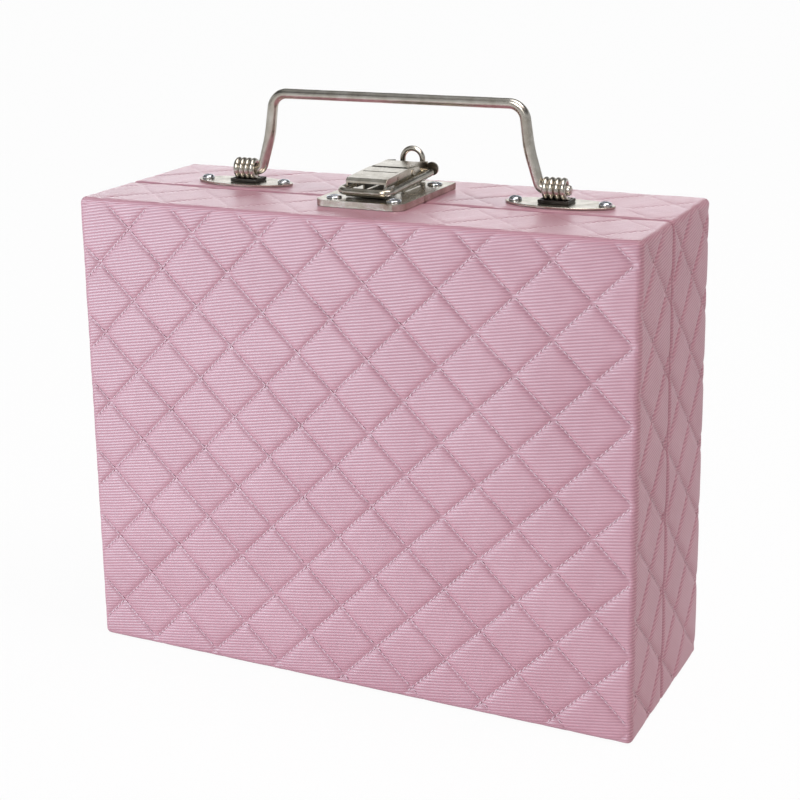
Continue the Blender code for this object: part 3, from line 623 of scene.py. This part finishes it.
def sewn_places(face, sign):
    """Where one face's stitches lie, which way they run and which way is out."""
    _, low, high = half_box(sign)
    corners = np.array([[x, y, z] for x in (low[0], high[0]) for y in (low[1], high[1])
                        for z in (low[2], high[2])])
    corners[:, face.normal_axis] = (high if face.sign > 0 else low)[face.normal_axis]
    zero, spans = corners[:1], [face.u_axis, face.v_axis]
    u0, v0 = face.cloth(zero)
    du, dv = face.senses(zero)
    bounds = face.quilt.lattice(*face.cloth(corners))
    out = np.zeros(3)
    out[face.normal_axis] = face.sign
    found = []
    for family in (0, 1):
        fixed, moving = bounds[family], bounds[1 - family]
        t = np.arange(math.floor(moving.min()), math.ceil(moving.max()),
                      STITCH_PITCH / DIAMOND.length * 2)
        crossing = np.abs(t - np.round(t)) * DIAMOND.length / 2
        for line in range(math.ceil(fixed.min()), math.floor(fixed.max()) + 1):
            u, v = face.quilt.plane(*((line, t) if family == 0 else (t, line)))
            ahead = t + 0.01
            u_on, v_on = face.quilt.plane(*((line, ahead) if family == 0 else (ahead, line)))
            spot = zero + np.outer(u - u0[0], du) + np.outer(v - v0[0], dv)
            way = unit(np.outer(u_on - u, du) + np.outer(v_on - v, dv))
            inside = (spot > low + SEWN_EDGE) & (spot < high - SEWN_EDGE)
            inside = (inside[:, spans].all(axis=1) & (pressed(*spot.T) < 0.55)
                      & (crossing > CROSSING))
            sunk = DEPTH_SHARE[face.normal_axis] * CREASE_DEPTH * 0.98 * calm(spot, low, high, sign)
            spot = spot - out * (sunk - 0.5 * STITCH_RADIUS)[:, None]
            found.append((spot[inside], way[inside], np.tile(out, (inside.sum(), 1))))
    return found


def sewing(name, sign):
    """Threads lying in the sewn lines of one half: a short capsule for each stitch."""
    found = []
    for face in case_faces(sign):
        if face.normal_axis != 2:  # the top and the bottom are only embossed
            found += sewn_places(face, sign)
    centre, way, normal = (np.concatenate(part) for part in zip(*found))
    side = np.cross(normal, way)
    c, s = math.cos(STITCH_SLANT), math.sin(STITCH_SLANT)
    way, side = way * c + side * s, side * c - way * s
    verts = []
    for place, lift, width in STITCH_RINGS:
        middle = centre + way * (place * STITCH_LENGTH) + normal * (lift * STITCH_RADIUS)
        for k in range(STITCH_SIDES):
            angle = math.tau * k / STITCH_SIDES
            verts.append(middle + width * STITCH_RADIUS * (math.cos(angle) * side
                                                           + math.sin(angle) * normal))
    each = len(STITCH_RINGS) * STITCH_SIDES
    shape = []
    for ring in range(0, each - STITCH_SIDES, STITCH_SIDES):
        for k in range(STITCH_SIDES):
            n = (k + 1) % STITCH_SIDES
            up = ring + STITCH_SIDES
            shape += [ring + k, up + k, up + n, ring + n]
    sizes = [4] * (len(shape) // 4) + [STITCH_SIDES] * 2
    shape += list(range(STITCH_SIDES)) + list(range(each - 1, each - 1 - STITCH_SIDES, -1))
    corners = np.arange(len(centre))[:, None] * each + np.array(shape)
    mesh = mesh_of(name, np.stack(verts, 1).reshape(-1, 3), corners.ravel(),
                   np.tile(sizes, len(centre)))
    return link_mesh(name, mesh, THREAD)



def clear_hinges(obj, sign):
    """Rounds the lower edge at the seam, so that the lid can turn, and makes room for the hinges."""
    co = np.zeros(len(obj.data.vertices) * 3)
    obj.data.vertices.foreach_get("co", co)
    co = co.reshape(-1, 3)
    seam = half_box(sign)[0]
    dy, dz = sign * (co[:, 1] - seam) - TURN_RADIUS, co[:, 2] - TURN_RADIUS
    away = np.hypot(dy, dz)
    hit = (dy < 0) & (dz < 0) & (away > TURN_RADIUS)
    co[hit, 1] = seam + sign * (TURN_RADIUS + dy[hit] * TURN_RADIUS / away[hit])
    co[hit, 2] = TURN_RADIUS + dz[hit] * TURN_RADIUS / away[hit]
    for side in ("left", "right"):
        low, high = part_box("hinge_leaf_back_" + side)
        near = (co[:, 0] > low.x - 0.5 * MM) & (co[:, 0] < high.x + 0.5 * MM) & (co[:, 2] < 9 * MM)
        dy, dz = co[:, 1] - HINGE_AXIS.y, co[:, 2] - HINGE_AXIS.z
        away = np.hypot(dy, dz)
        hit = near & (away < KNUCKLE) & (dz < 1.4 * MM)
        scale = KNUCKLE / np.maximum(away, 1e-6)
        co[hit, 1] = HINGE_AXIS.y + dy[hit] * scale[hit]
        co[hit, 2] = np.maximum(HINGE_AXIS.z + dz[hit] * scale[hit], 0.0)
        slot = near & (sign * (co[:, 1] - SEAM_Y) < 1.0 * MM) & (co[:, 2] > HINGE_AXIS.z)
        co[slot, 1] = SEAM_Y + sign * 1.0 * MM
    obj.data.vertices.foreach_set("co", co.ravel())
    obj.data.update()



# Velvet inside

def block_grid(low, high, spacing, radius):
    """A rounded block: its points, their outward directions, and its quads and their sides."""
    steps = [axis_steps(a, b, radius, radius, spacing) for a, b in zip(low, high)]
    points, quads, sides = [], [], []
    offset = 0
    for axis in range(3):
        spans = [k for k in range(3) if k != axis]
        for sign in (-1, 1):
            level = (high if sign > 0 else low)[axis]
            grid, quad = flat_grid(*(steps[k] for k in spans), *spans, level)
            if (sign > 0) == (axis == 1):
                quad = quad[:, ::-1]
            points.append(grid)
            quads.append(quad + offset)
            sides.append(np.full(len(quad), 2 * axis + (sign > 0)))
            offset += len(grid)
    flat = np.concatenate(points)
    core = np.clip(flat, low + radius, high - radius)
    way = unit(flat - core)
    placed = core + way * radius
    first, merged = welded(placed)
    return placed[first], way[first], merged[np.concatenate(quads)], np.concatenate(sides)



def tucks(points, size, depth):
    """Soft unevenness of stretched velvet."""
    k = math.tau / size
    x, y, z = points.T
    waves = (np.sin(k * (x + 0.3 * y) + 0.7) * np.cos(k * (0.8 * z - 0.2 * x) + 1.9)
             + 0.5 * np.sin(k * 2.3 * (z + 0.5 * x) + 2.2) * np.cos(k * 1.9 * (y - 0.3 * z)))
    return depth * waves / 1.5


def soft_piece(name, mesh, body, node):
    """A velvet piece in its node's place."""
    obj = link_mesh(name, mesh, VELVET)
    finish_piece(obj, body, "velvet", node)


def pad(name, body, node, radius, crowned, spacing=1.8 * MM, inset=0.15 * MM):
    """A padded block: crowned between its corners and a little uneven, in its node's space."""
    low, high = (np.array(corner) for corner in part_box(node))
    low, high = low + inset, high - inset
    points, way, quads, _ = block_grid(low, high, spacing, min(radius, (high - low).min() * 0.45))
    share = (points - (low + high) / 2) / ((high - low) / 2)
    bow = (1 - (1 - np.abs(way)) * np.abs(share) ** 3).prod(axis=1)
    dip = crowned * (bow - 1.0) + tucks(points, 17 * MM, 0.18 * crowned) - 0.18 * crowned
    mesh = mesh_of(name, points + way * dip[:, None], quads.ravel(), np.full(len(quads), 4))
    soft_piece(name, mesh, body, node)



LINING_THICK = 0.95 * MM
LINING_BACK = 0.2 * MM  # from the seam side of its node to the lining's edge
LEAF_ROOM = 1.2 * MM  # the same beside a hinge leaf


def lining(name, body, node, sign):
    """Velvet stretched over one half's inside: an open tray with soft corners."""
    low, high = (np.array(corner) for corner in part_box(node))
    seam = low[1] if sign > 0 else high[1]
    edge = seam + sign * LINING_BACK
    open_side = 2 if sign > 0 else 3
    block_low, block_high = low + 1.0 * MM, high - 1.0 * MM
    (block_low if sign > 0 else block_high)[1] = seam - sign * 6 * MM
    points, way, quads, sides = block_grid(block_low, block_high, 3.0 * MM, 2.2 * MM)
    quads = quads[sides != open_side]
    beyond = sign * (edge - points[:, 1])
    lift = np.clip(-beyond / (8 * MM), 0, 1)
    inward = -way * (np.abs(tucks(points, 41 * MM, 0.12 * MM)) * lift)[:, None]
    quads = quads[(beyond[quads] < 3.0 * MM).all(axis=1)]
    points[:, 1] = np.where(beyond > 0, edge, points[:, 1])
    for side in ("left", "right"):
        leaf_low, leaf_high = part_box("hinge_leaf_back_" + side)
        near = ((points[:, 0] > leaf_low.x - 3 * MM) & (points[:, 0] < leaf_high.x + 3 * MM)
                & (points[:, 2] < leaf_high.z + 2 * MM)
                & (sign * (points[:, 1] - seam) < LEAF_ROOM))
        points[near, 1] = seam + sign * LEAF_ROOM
    used = np.unique(quads)
    index = np.full(len(points), -1)
    index[used] = np.arange(len(used))
    quads = index[quads]
    inside = (points + inward)[used]
    outside = np.clip(points[used] + way[used] * LINING_THICK, low + 0.02 * MM, high - 0.02 * MM)
    count = len(inside)
    bm = bmesh.new()
    verts = [bm.verts.new(p) for p in np.concatenate([inside, outside])]
    for quad in quads:
        corners = list(dict.fromkeys(int(k) for k in quad))
        if len(corners) < 3:
            continue
        try:
            bm.faces.new([verts[k] for k in reversed(corners)])
            bm.faces.new([verts[k + count] for k in corners])
        except ValueError:  # two quads became the same face
            continue
    bm.edges.ensure_lookup_table()
    bm.verts.index_update()
    rim = [e for e in bm.edges if len(e.link_faces) == 1 and e.verts[0].index < count
           and e.verts[1].index < count]
    for edge in rim:
        a, b = (v.index for v in edge.verts)
        face = edge.link_faces[0]
        order = [v.index for v in face.verts]
        if order[(order.index(a) + 1) % len(order)] != b:
            a, b = b, a
        bm.faces.new((verts[b], verts[a], verts[a + count], verts[b + count]))
    bmesh.ops.remove_doubles(bm, verts=bm.verts, dist=0.001 * MM)
    bmesh.ops.recalc_face_normals(bm, faces=bm.faces)
    soft_piece(name, mesh_from(bm, name, 50), body, node)


FRAME_TURN = 3.0 * MM  # the corners' radius
FRAME_SIDE = 2.2 * MM  # height of its straight outer side
FRAME_PIECES = 40  # along each side


def mirror_frame():
    """A padded roll round the mirror, mitred at its corners."""
    low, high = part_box("mirror_frame")
    glass_low, glass_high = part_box("lid_mirror")
    middle, half = (low + high) / 2, (high - low) / 2
    glass_half = (glass_high.x - glass_low.x) / 2
    band = half.x - (glass_half - 3 * MM)
    groove = half.x - glass_half - 0.3 * MM
    lip = glass_high.y + 0.3 * MM
    side = low.y + FRAME_SIDE
    # Profile from the outer back edge over the pad to the glass, as (inwards, y).
    profile = [(0.0, low.y), (0.0, side)]
    for step in range(1, 12):
        angle = math.pi * step / 12
        profile.append((band * (1 - math.cos(angle)) / 2,
                        side + (high.y - side) * math.sin(angle) ** 0.6))
    profile += [(band, lip + 0.1 * MM), (groove, lip), (groove, low.y)]
    bm = bmesh.new()
    rows = []
    for inwards, y in profile:
        radius = max(FRAME_TURN - inwards, 0.25 * MM)
        points = []
        for x, z, first in ((1, 1, 0), (-1, 1, 90), (-1, -1, 180), (1, -1, 270)):
            for step in range(5):
                angle = math.radians(first + 22.5 * step)
                points.append(Vector((
                    middle.x + x * (half.x - inwards - radius) + math.cos(angle) * radius, y,
                    middle.z + z * (half.z - inwards - radius) + math.sin(angle) * radius)))
        ring = []
        for a, b in zip(points, points[1:] + points[:1]):
            pieces = FRAME_PIECES if (b - a).length > 40 * MM else 1
            ring += [a.lerp(b, k / pieces) for k in range(pieces)]
        puff = 0.35 * MM * max(0.0, (y - side) / (high.y - side))
        rows.append([])
        for k, point in enumerate(ring):
            tuck = puff * (0.5 + 0.5 * math.sin(k * 1.7) * math.cos(k * 0.63))
            rows[-1].append(bm.verts.new((point.x, point.y - tuck, point.z)))
    bridge(bm, rows + rows[:1])
    bmesh.ops.recalc_face_normals(bm, faces=bm.faces)
    soft_piece("mirror_roll", mesh_from(bm, "mirror_roll", 60), "lid", "mirror_frame")



def soft_inside():
    """Linings, ring rolls with their bed, dividers and the mirror's frame."""
    lining("back_velvet", "case_back", "back_lining", 1)
    lining("lid_velvet", "lid", "lid_lining", -1)
    for index in range(1, 6):
        pad(f"ring_pad_{index}", "case_back", f"ring_roll_{index}", 6.5 * MM, 0.9 * MM)
    pad("ring_bed_pad", "case_back", "ring_bed", 1.2 * MM, 0.3 * MM, 2.5 * MM)
    for place in ("long", "left", "right_low", "right_high"):
        pad("divider_pad_" + place, "case_back", "divider_" + place, 1.25 * MM, 0.25 * MM, 2.0 * MM)
    mirror_frame()


# Metal

def bevelled(node, body, slot, finish, width, segments=2, sharp=28, paint_shade_on=None):
    """A copy of a CAD node with its flats joined, its sharp edges rolled and painted shade on its hidden faces."""
    source = NODES[node]
    bm = bmesh.new()
    bm.from_mesh(source.data)
    bm.transform(source.matrix_world)
    bmesh.ops.remove_doubles(bm, verts=bm.verts, dist=0.002 * MM)
    bmesh.ops.dissolve_limit(bm, angle_limit=math.radians(1.5), verts=bm.verts, edges=bm.edges)
    edges = [e for e in bm.edges if len(e.link_faces) == 2
             and e.calc_face_angle(0.0) > math.radians(sharp)]
    bmesh.ops.bevel(bm, geom=edges, offset=width, offset_type="OFFSET", segments=segments,
                    profile=0.6, affect="EDGES", clamp_overlap=True)
    bmesh.ops.triangulate(bm, faces=[f for f in bm.faces if len(f.verts) > 4])
    # Faces that the predicate picks get the second finish, a near-black nickel that paints the shade inside
    # hollows and under other parts.
    if paint_shade_on:
        for face in bm.faces:
            face.material_index = 1 if paint_shade_on(face.calc_center_median(), face.normal) else 0
    made = flat_shaded(node + "_rolled", mesh_from(bm, node + "_rolled"), finish)
    if paint_shade_on:
        made.data.materials.append(PAINTED_SHADE_NICKEL)
    return finish_piece(made, body, slot, node)


def flat_shaded(name, mesh, finish):
    """Smooth shading whose normals follow the larger faces, so that flats stay flat."""
    obj = link_mesh(name, mesh, finish)
    mesh.shade_smooth()
    mesh.set_sharp_from_angle(angle=math.radians(60))
    weigh = obj.modifiers.new("weigh", "WEIGHTED_NORMAL")
    weigh.keep_sharp = True
    weigh.weight = 80
    graph = bpy.context.evaluated_depsgraph_get()
    done = bpy.data.meshes.new_from_object(obj.evaluated_get(graph), depsgraph=graph)
    obj.modifiers.clear()
    obj.data = done
    return obj


def rounded(points, radii, steps=10):
    """A path through the points, each inner corner turned on its own radius."""
    points = [Vector(p) for p in points]
    path = [points[0]]
    for before, corner, after, radius in zip(points, points[1:], points[2:], radii):
        to_before = (before - corner).normalized()
        to_after = (after - corner).normalized()
        half = to_before.angle(to_after) / 2
        reach = radius / math.tan(half)
        centre = corner + (to_before + to_after).normalized() * (radius / math.sin(half))
        first = (corner + to_before * reach - centre).normalized()
        last = (corner + to_after * reach - centre).normalized()
        for step in range(steps + 1):
            path.append(centre + first.slerp(last, step / steps) * radius)
    return path + [points[-1]]


def drawn_wire(name, path, radius, finish, sides=24, end=0.35, swell=None):
    """Round wire along a path, its cut ends rolled; swell(point) scales its radius."""
    path = [Vector(p) for p in path]
    spots = [p for i, p in enumerate(path) if i == 0 or (p - path[i - 1]).length > 0.02 * MM]
    last = len(spots) - 1
    ways = [(spots[min(i + 1, last)] - spots[max(i - 1, 0)]).normalized() for i in range(last + 1)]
    side = ways[0].orthogonal().normalized()
    rings = []
    for i, (spot, way) in enumerate(zip(spots, ways)):
        side = (side - way * side.dot(way)).normalized()
        up = way.cross(side)
        size = radius * (swell(spot) if swell else 1.0)
        if 0 < i < last:
            rings.append((spot, side, up, size))
            continue
        inwards = way if i == 0 else -way
        for angle in (80, 50, 20) if i == 0 else (20, 50, 80):
            a = math.radians(angle)
            rings.append((spot + inwards * end * radius * (1 - math.sin(a)), side, up,
                          size * (1 - end * (1 - math.cos(a)))))
    bm = bmesh.new()
    layers = []
    for spot, across, up, size in rings:
        angles = [math.tau * k / sides for k in range(sides)]
        layers.append([bm.verts.new(spot + size * (math.cos(a) * across + math.sin(a) * up))
                       for a in angles])
    bridge(bm, layers)
    bm.faces.new(layers[0][::-1])
    bm.faces.new(layers[-1])
    bm.normal_update()
    return flat_shaded(name, mesh_from(bm, name), finish)



COIL_X, COIL_MEAN, COIL_WIRE = 66.2 * MM, 3.58 * MM, 1.12 * MM
COIL_PITCH, COIL_TURNS = 2.33 * MM, 3.6
COIL_HALF = COIL_TURNS * COIL_PITCH / 2 + COIL_WIRE
COIL_STEPS = 40  # in each turn
BAIL_WIRE, BAIL_RISE, BAIL_WAIST = 2.0 * MM, 31.3 * MM, 14.5 * MM
BAIL_BENDS = (3.0 * MM, 45.0 * MM, 6.5 * MM)  # at its foot, its waist and its top


def handle_wires():
    """The bail and the coils that grip its feet."""
    axis = joint_place("bail_swing")
    for side, sign in (("left", -1), ("right", 1)):
        turns = []
        for i in range(int(COIL_TURNS * COIL_STEPS) + 1):
            angle = math.tau * i / COIL_STEPS + 0.4 * math.pi
            along = (i / COIL_STEPS - COIL_TURNS / 2) * COIL_PITCH
            turns.append((sign * COIL_X + along, axis.y + COIL_MEAN * math.cos(angle),
                          axis.z + COIL_MEAN * math.sin(angle)))
        coil = drawn_wire("coil_wire_" + side, turns, COIL_WIRE, WIRE_NICKEL, 20)
        finish_piece(coil, "case_back", "nickel", "bail_coil_" + side)
    foot_out = COIL_X + COIL_HALF + 0.5 * MM
    foot_in = COIL_X - COIL_HALF - 1.2 * MM
    waist_x, top_x = foot_in - 4.4 * MM, foot_in - 6.7 * MM
    left = [(-foot_out, 0, 0), (-foot_in, 0, 0), (-waist_x, 0, BAIL_WAIST), (-top_x, 0, BAIL_RISE)]
    right = [(-x, y, z) for x, y, z in reversed(left)]
    path = [p + axis for p in rounded(left + right, BAIL_BENDS + BAIL_BENDS[::-1], 14)]
    long_path = []
    for a, b in zip(path, path[1:]):
        pieces = max(1, round((b - a).length / (4 * MM)))
        long_path += [a.lerp(b, i / pieces) for i in range(pieces)]
    long_path.append(path[-1])

    def swell(spot):
        """The wire is pressed a little wider half way up, and is nowhere quite even."""
        rise = (spot.z - axis.z) / BAIL_RISE
        upright = math.exp(-((rise - 0.5) / 0.33) ** 2)
        dents = (0.008 * math.sin(spot.x * 230) + 0.006 * math.sin(spot.x * 510 + 1.3)
                 + 0.006 * math.sin(spot.z * 700))
        return 1.0 + 0.10 * upright + dents

    bail = drawn_wire("bail_wire", long_path, BAIL_WIRE, WIRE_NICKEL, 28, 0.5, swell)
    finish_piece(bail, "bail", "nickel", "bail_handle")


LOOP_WIRE, STAPLE_WIRE = 1.4 * MM, 1.1 * MM


def latch_wires():
    """The loop round the hood and the ring of the staple."""
    pivot = joint_place("loop_pivot")
    half, front, inner = 10.4 * MM, -20.9 * MM, 7.1 * MM
    rear_z = pivot.z - CASE_TOP
    right = [(half, front, 5.45 * MM), (half, 4.0 * MM, 6.7 * MM), (half, 12.0 * MM, 6.9 * MM),
             (half, pivot.y, rear_z), (inner, pivot.y, rear_z)]
    left = [(-x, y, z) for x, y, z in reversed(right)]
    radii = [r * MM for r in (1.5, 8, 20, 3.6, 3.6, 20, 8, 1.5)]
    path = [p + Vector((0, 0, CASE_TOP)) for p in rounded(left + right, radii, 12)]
    loop = drawn_wire("loop_wire", path, LOOP_WIRE, NICKEL, 24)
    finish_piece(loop, "loop", "nickel", "latch_loop")

    low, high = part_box("padlock_staple")
    ring = (high.x - low.x) / 2 - STAPLE_WIRE
    x, y = (low.x + high.x) / 2, (low.y + high.y) / 2
    spring = high.z - STAPLE_WIRE - ring  # where its straight legs end
    path = [(x - ring, y, low.z + 0.02 * MM), (x - ring, y, (low.z + spring) / 2)]
    for step in range(33):
        angle = math.pi - math.pi * step / 32
        path.append((x + ring * math.cos(angle), y, spring + ring * math.sin(angle)))
    path += [(x + ring, y, (low.z + spring) / 2), (x + ring, y, low.z + 0.02 * MM)]
    staple = drawn_wire("staple_wire", path, STAPLE_WIRE, NICKEL, 22)
    finish_piece(staple, "case_back", "nickel", "padlock_staple")


def stamped_metal():
    """Plates, hood, lever, catch, rivet, saddles, screws and hinges with rolled edges."""
    back, nickel = "case_back", "nickel"
    bevelled("latch_front_plate", "lid", nickel, NICKEL, 0.4 * MM, 3)
    bevelled("latch_rear_plate", back, nickel, NICKEL, 0.4 * MM, 3)
    hood_low, hood_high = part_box("latch_hood")
    lip, inner = hood_low.y + 0.5 * MM, hood_high.x - 0.5 * MM
    lever_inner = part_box("latch_rivet")[1].x - 1.9 * MM
    slit_y = -6.0 * MM

    # Faces inside the hood, under its lip and in its slit: these get painted shade.
    def under_hood(spot, normal):
        sunk = abs(spot.y - slit_y) < 0.5 * MM and abs(normal.z) < 0.9
        inside = abs(spot.x) < inner and spot.y > lip
        return sunk or (inside and (normal.z < -0.2 or abs(normal.x) > 0.6 or normal.y < -0.5))

    # The lever's forward faces and its inner and lower faces: these get painted shade.
    def under_lever(spot, normal):
        inside = abs(spot.x) < lever_inner
        return normal.y < -0.5 or (inside and (normal.z < -0.2 or abs(normal.x) > 0.6))

    bevelled("latch_hood", back, nickel, NICKEL, 0.28 * MM, 3, paint_shade_on=under_hood)
    bevelled("latch_lever", "lever", nickel, NICKEL, 0.2 * MM, paint_shade_on=under_lever)
    bevelled("latch_rivet", back, nickel, NICKEL, 0.1 * MM)
    # The whole catch sits under the hood and is painted in shade.
    bevelled("latch_catch", "lid", nickel, NICKEL, 0.2 * MM, paint_shade_on=lambda spot, normal: True)
    for side in ("left", "right"):
        bevelled("handle_plate_" + side, back, nickel, NICKEL, 0.2 * MM, 3)
        # The saddles' near-black finish paints the shadow under each coil.
        bevelled("coil_saddle_" + side, back, "dark_nickel", PAINTED_SHADOW_NICKEL, 0.15 * MM)
        bevelled("hinge_leaf_back_" + side, back, nickel, NICKEL, 0.1 * MM)
        bevelled("hinge_leaf_lid_" + side, "lid", nickel, NICKEL, 0.1 * MM)
    for node in NODES:
        if "_screw_" in node:
            body = "lid" if "latch_screw_front" in node else back
            bevelled(node, body, "screw_steel", STEEL, 0.09 * MM, 2, 40)


# The camera, the light and the floor

CAMERA_PLACE = Vector((0.279265, -0.577558, 0.308470))
CAMERA_AZIMUTH, CAMERA_ELEVATION, CAMERA_ROLL = (math.radians(d) for d in (27.08, 14.68, -1.23))


def camera():
    """The photograph's viewpoint, solved from the case's edges and its size."""
    data = bpy.data.cameras.new("camera")
    data.sensor_width = 36
    data.lens = 75.957
    data.shift_x, data.shift_y = 0.0585, -0.1068
    obj = bpy.data.objects.new("camera", data)
    bpy.context.scene.collection.objects.link(obj)
    a, e, r = CAMERA_AZIMUTH, CAMERA_ELEVATION, CAMERA_ROLL
    back = Vector((math.sin(a) * math.cos(e), -math.cos(a) * math.cos(e), math.sin(e)))
    right = Vector((math.cos(a), math.sin(a), 0))
    up = back.cross(right)
    right, up = (math.cos(r) * right + math.sin(r) * up, math.cos(r) * up - math.sin(r) * right)
    turned = Matrix((right, up, back)).transposed().to_4x4()
    obj.matrix_world = Matrix.Translation(CAMERA_PLACE) @ turned
    bpy.context.scene.camera = obj


def soft_light(name, kind, place, target, energy, size, colour=(1, 1, 1)):
    data = bpy.data.lights.new(name, kind)
    data.energy = energy
    data.color = colour
    if kind == "SUN":
        data.angle = size
    else:
        data.shape = "RECTANGLE"
        data.size, data.size_y = size
    obj = bpy.data.objects.new(name, data)
    bpy.context.scene.collection.objects.link(obj)
    obj.location = place
    obj.visible_camera = False
    obj.rotation_euler = (Vector(target) - Vector(place)).to_track_quat("-Z", "Y").to_euler()
    return obj


FLOOR_CLEAR = 0.95  # of what the camera sees through the floor, and of the light that passes it
WORLD_STRENGTH = 0.34
# Levels from straight down to straight up: bright round the horizon, dark curtains, a ceiling.
WORLD_BANDS = ((0.0, 1.0), (0.32, 1.7), (0.42, 0.2), (0.60, 0.1), (0.72, 0.5), (0.9, 1.0))
REAR_PLACE, CASE_MIDDLE = (-0.9, 1.75, 0.62), (0, 0, 0.15)


def pale_floor():
    """A floor under the case that keeps a faint shadow.

    The camera sees the white studio through it, and so it sees the lid, which turns below the
    floor because the case is laid on its back before it is opened.
    """
    bm = bmesh.new()
    bmesh.ops.create_circle(bm, cap_ends=True, radius=12.0, segments=96)
    made, node, _ = new_material("floor", (0.93, 0.93, 0.93), 0.9, Specular_IOR_Level=0.1,
                                 Emission_Color=(1, 1, 1, 1), Emission_Strength=0.12)
    tree = made.node_tree
    rays = node("ShaderNodeLightPath").outputs
    direct = maths(node, "MAXIMUM", rays["Is Camera Ray"], rays["Is Shadow Ray"])
    below = node("ShaderNodeNewGeometry").outputs["Backfacing"]
    share = maths(node, "MAXIMUM", maths(node, "MULTIPLY", direct, FLOOR_CLEAR), below)
    mix = node("ShaderNodeMixShader", [
        ("Fac", share), (1, tree.nodes["Principled BSDF"].outputs[0]),
        (2, node("ShaderNodeBsdfTransparent").outputs[0])])
    tree.links.new(mix.outputs[0], tree.nodes["Material Output"].inputs["Surface"])
    floor = link_mesh("floor", mesh_from(bm, "floor"), made)
    floor.location.z = -0.2 * MM


def lights(leathers):
    """Soft lights for all pieces, and some that reach only the leather or only the metal."""
    soft_light("overhead", "SUN", (0.3, 0.1, 2.2), (0, 0, 0), 0.9, math.radians(40),
               (1, 0.985, 0.98))
    left = soft_light("left_low", "AREA", (-0.72, -1.0, 0.25), (0, 0, 0.08), 14.5, (0.8, 0.5),
                      (0.70, 0.94, 1))
    soft_light("right_fill", "AREA", (0.55, -0.05, 1.3), (0.1, 0, 0.1), 4.6, (0.4, 0.4),
               (1, 0.87, 0.87))
    key = soft_light("metal_key", "AREA", (0.15, -1.1, 1.0), CASE_MIDDLE, 9.0, (0.6, 0.5),
                     (1, 0.98, 0.95))
    glow = soft_light("metal_rear", "AREA", REAR_PLACE, CASE_MIDDLE, 5.0, (2.4, 0.9))
    rear = soft_light("rear_card", "AREA", REAR_PLACE, CASE_MIDDLE, 16.0, (1.8, 0.8),
                      (0.9, 0.98, 1))
    finishes = (NICKEL, WIRE_NICKEL, PAINTED_SHADOW_NICKEL, STEEL)
    metals = [obj for obj in bpy.context.scene.objects
              if obj.type == "MESH" and obj.active_material in finishes]
    for name, pieces, reach in (("leather_lit", leathers, (left, rear)),
                                ("metal_lit", metals, (key, glow))):
        group = bpy.data.collections.new(name)
        for piece in pieces:
            group.objects.link(piece)
        for light in reach:
            light.light_linking.receiver_collection = group


def surroundings():
    """The world: bands of light and dark for the reflections, and plain white for the camera."""
    world = bpy.data.worlds.new("studio")
    bpy.context.scene.world = world
    world.use_nodes = True
    tree = world.node_tree
    node = adder(tree)
    place = node("ShaderNodeTexCoord").outputs["Generated"]
    height = node("ShaderNodeSeparateXYZ", [("Vector", place)]).outputs["Z"]
    tones = [(at, (level * 0.96, level * 0.98, level)) for at, level in WORLD_BANDS]
    lit = tree.nodes["Background"]
    tree.links.new(ramp(node, height, tones), lit.inputs["Color"])
    lit.inputs["Strength"].default_value = WORLD_STRENGTH
    seen = node("ShaderNodeBackground", in_Color=(1, 1, 1, 1))
    rays = node("ShaderNodeLightPath").outputs
    mix = node("ShaderNodeMixShader", [("Fac", rays["Is Camera Ray"]), (1, lit.outputs[0]),
                                       (2, seen.outputs[0])])
    tree.links.new(mix.outputs[0], tree.nodes["World Output"].inputs["Surface"])
    bpy.context.scene.view_settings.view_transform = "Standard"


def build():
    """All pieces, their finishes, and the stage."""
    camera()
    back = quilted_cover("back_leather", 1)
    finish_piece(back, "case_back", "leather", "back_cover")
    lid = quilted_cover("lid_leather", -1)
    finish_piece(lid, "lid", "leather", "lid_cover")
    sewn = (finish_piece(sewing("back_stitching", 1), "case_back", "leather"),
            finish_piece(sewing("lid_stitching", -1), "lid", "leather"))
    soft_inside()
    handle_wires()
    latch_wires()
    stamped_metal()
    finishes = {"nickel": NICKEL, "dark_nickel": PAINTED_SHADOW_NICKEL, "screw_steel": STEEL,
                "velvet": VELVET, "board": BOARD, "mirror": MIRROR, "leather": LEATHER}
    for part in frame["record"]["subparts"]:
        obj = NODES[part["node"]]
        obj.data.materials.clear()
        obj.data.materials.append(finishes[part["material_slot"]])
    pale_floor()
    lights((back, lid, *sewn))
    surroundings()


build()
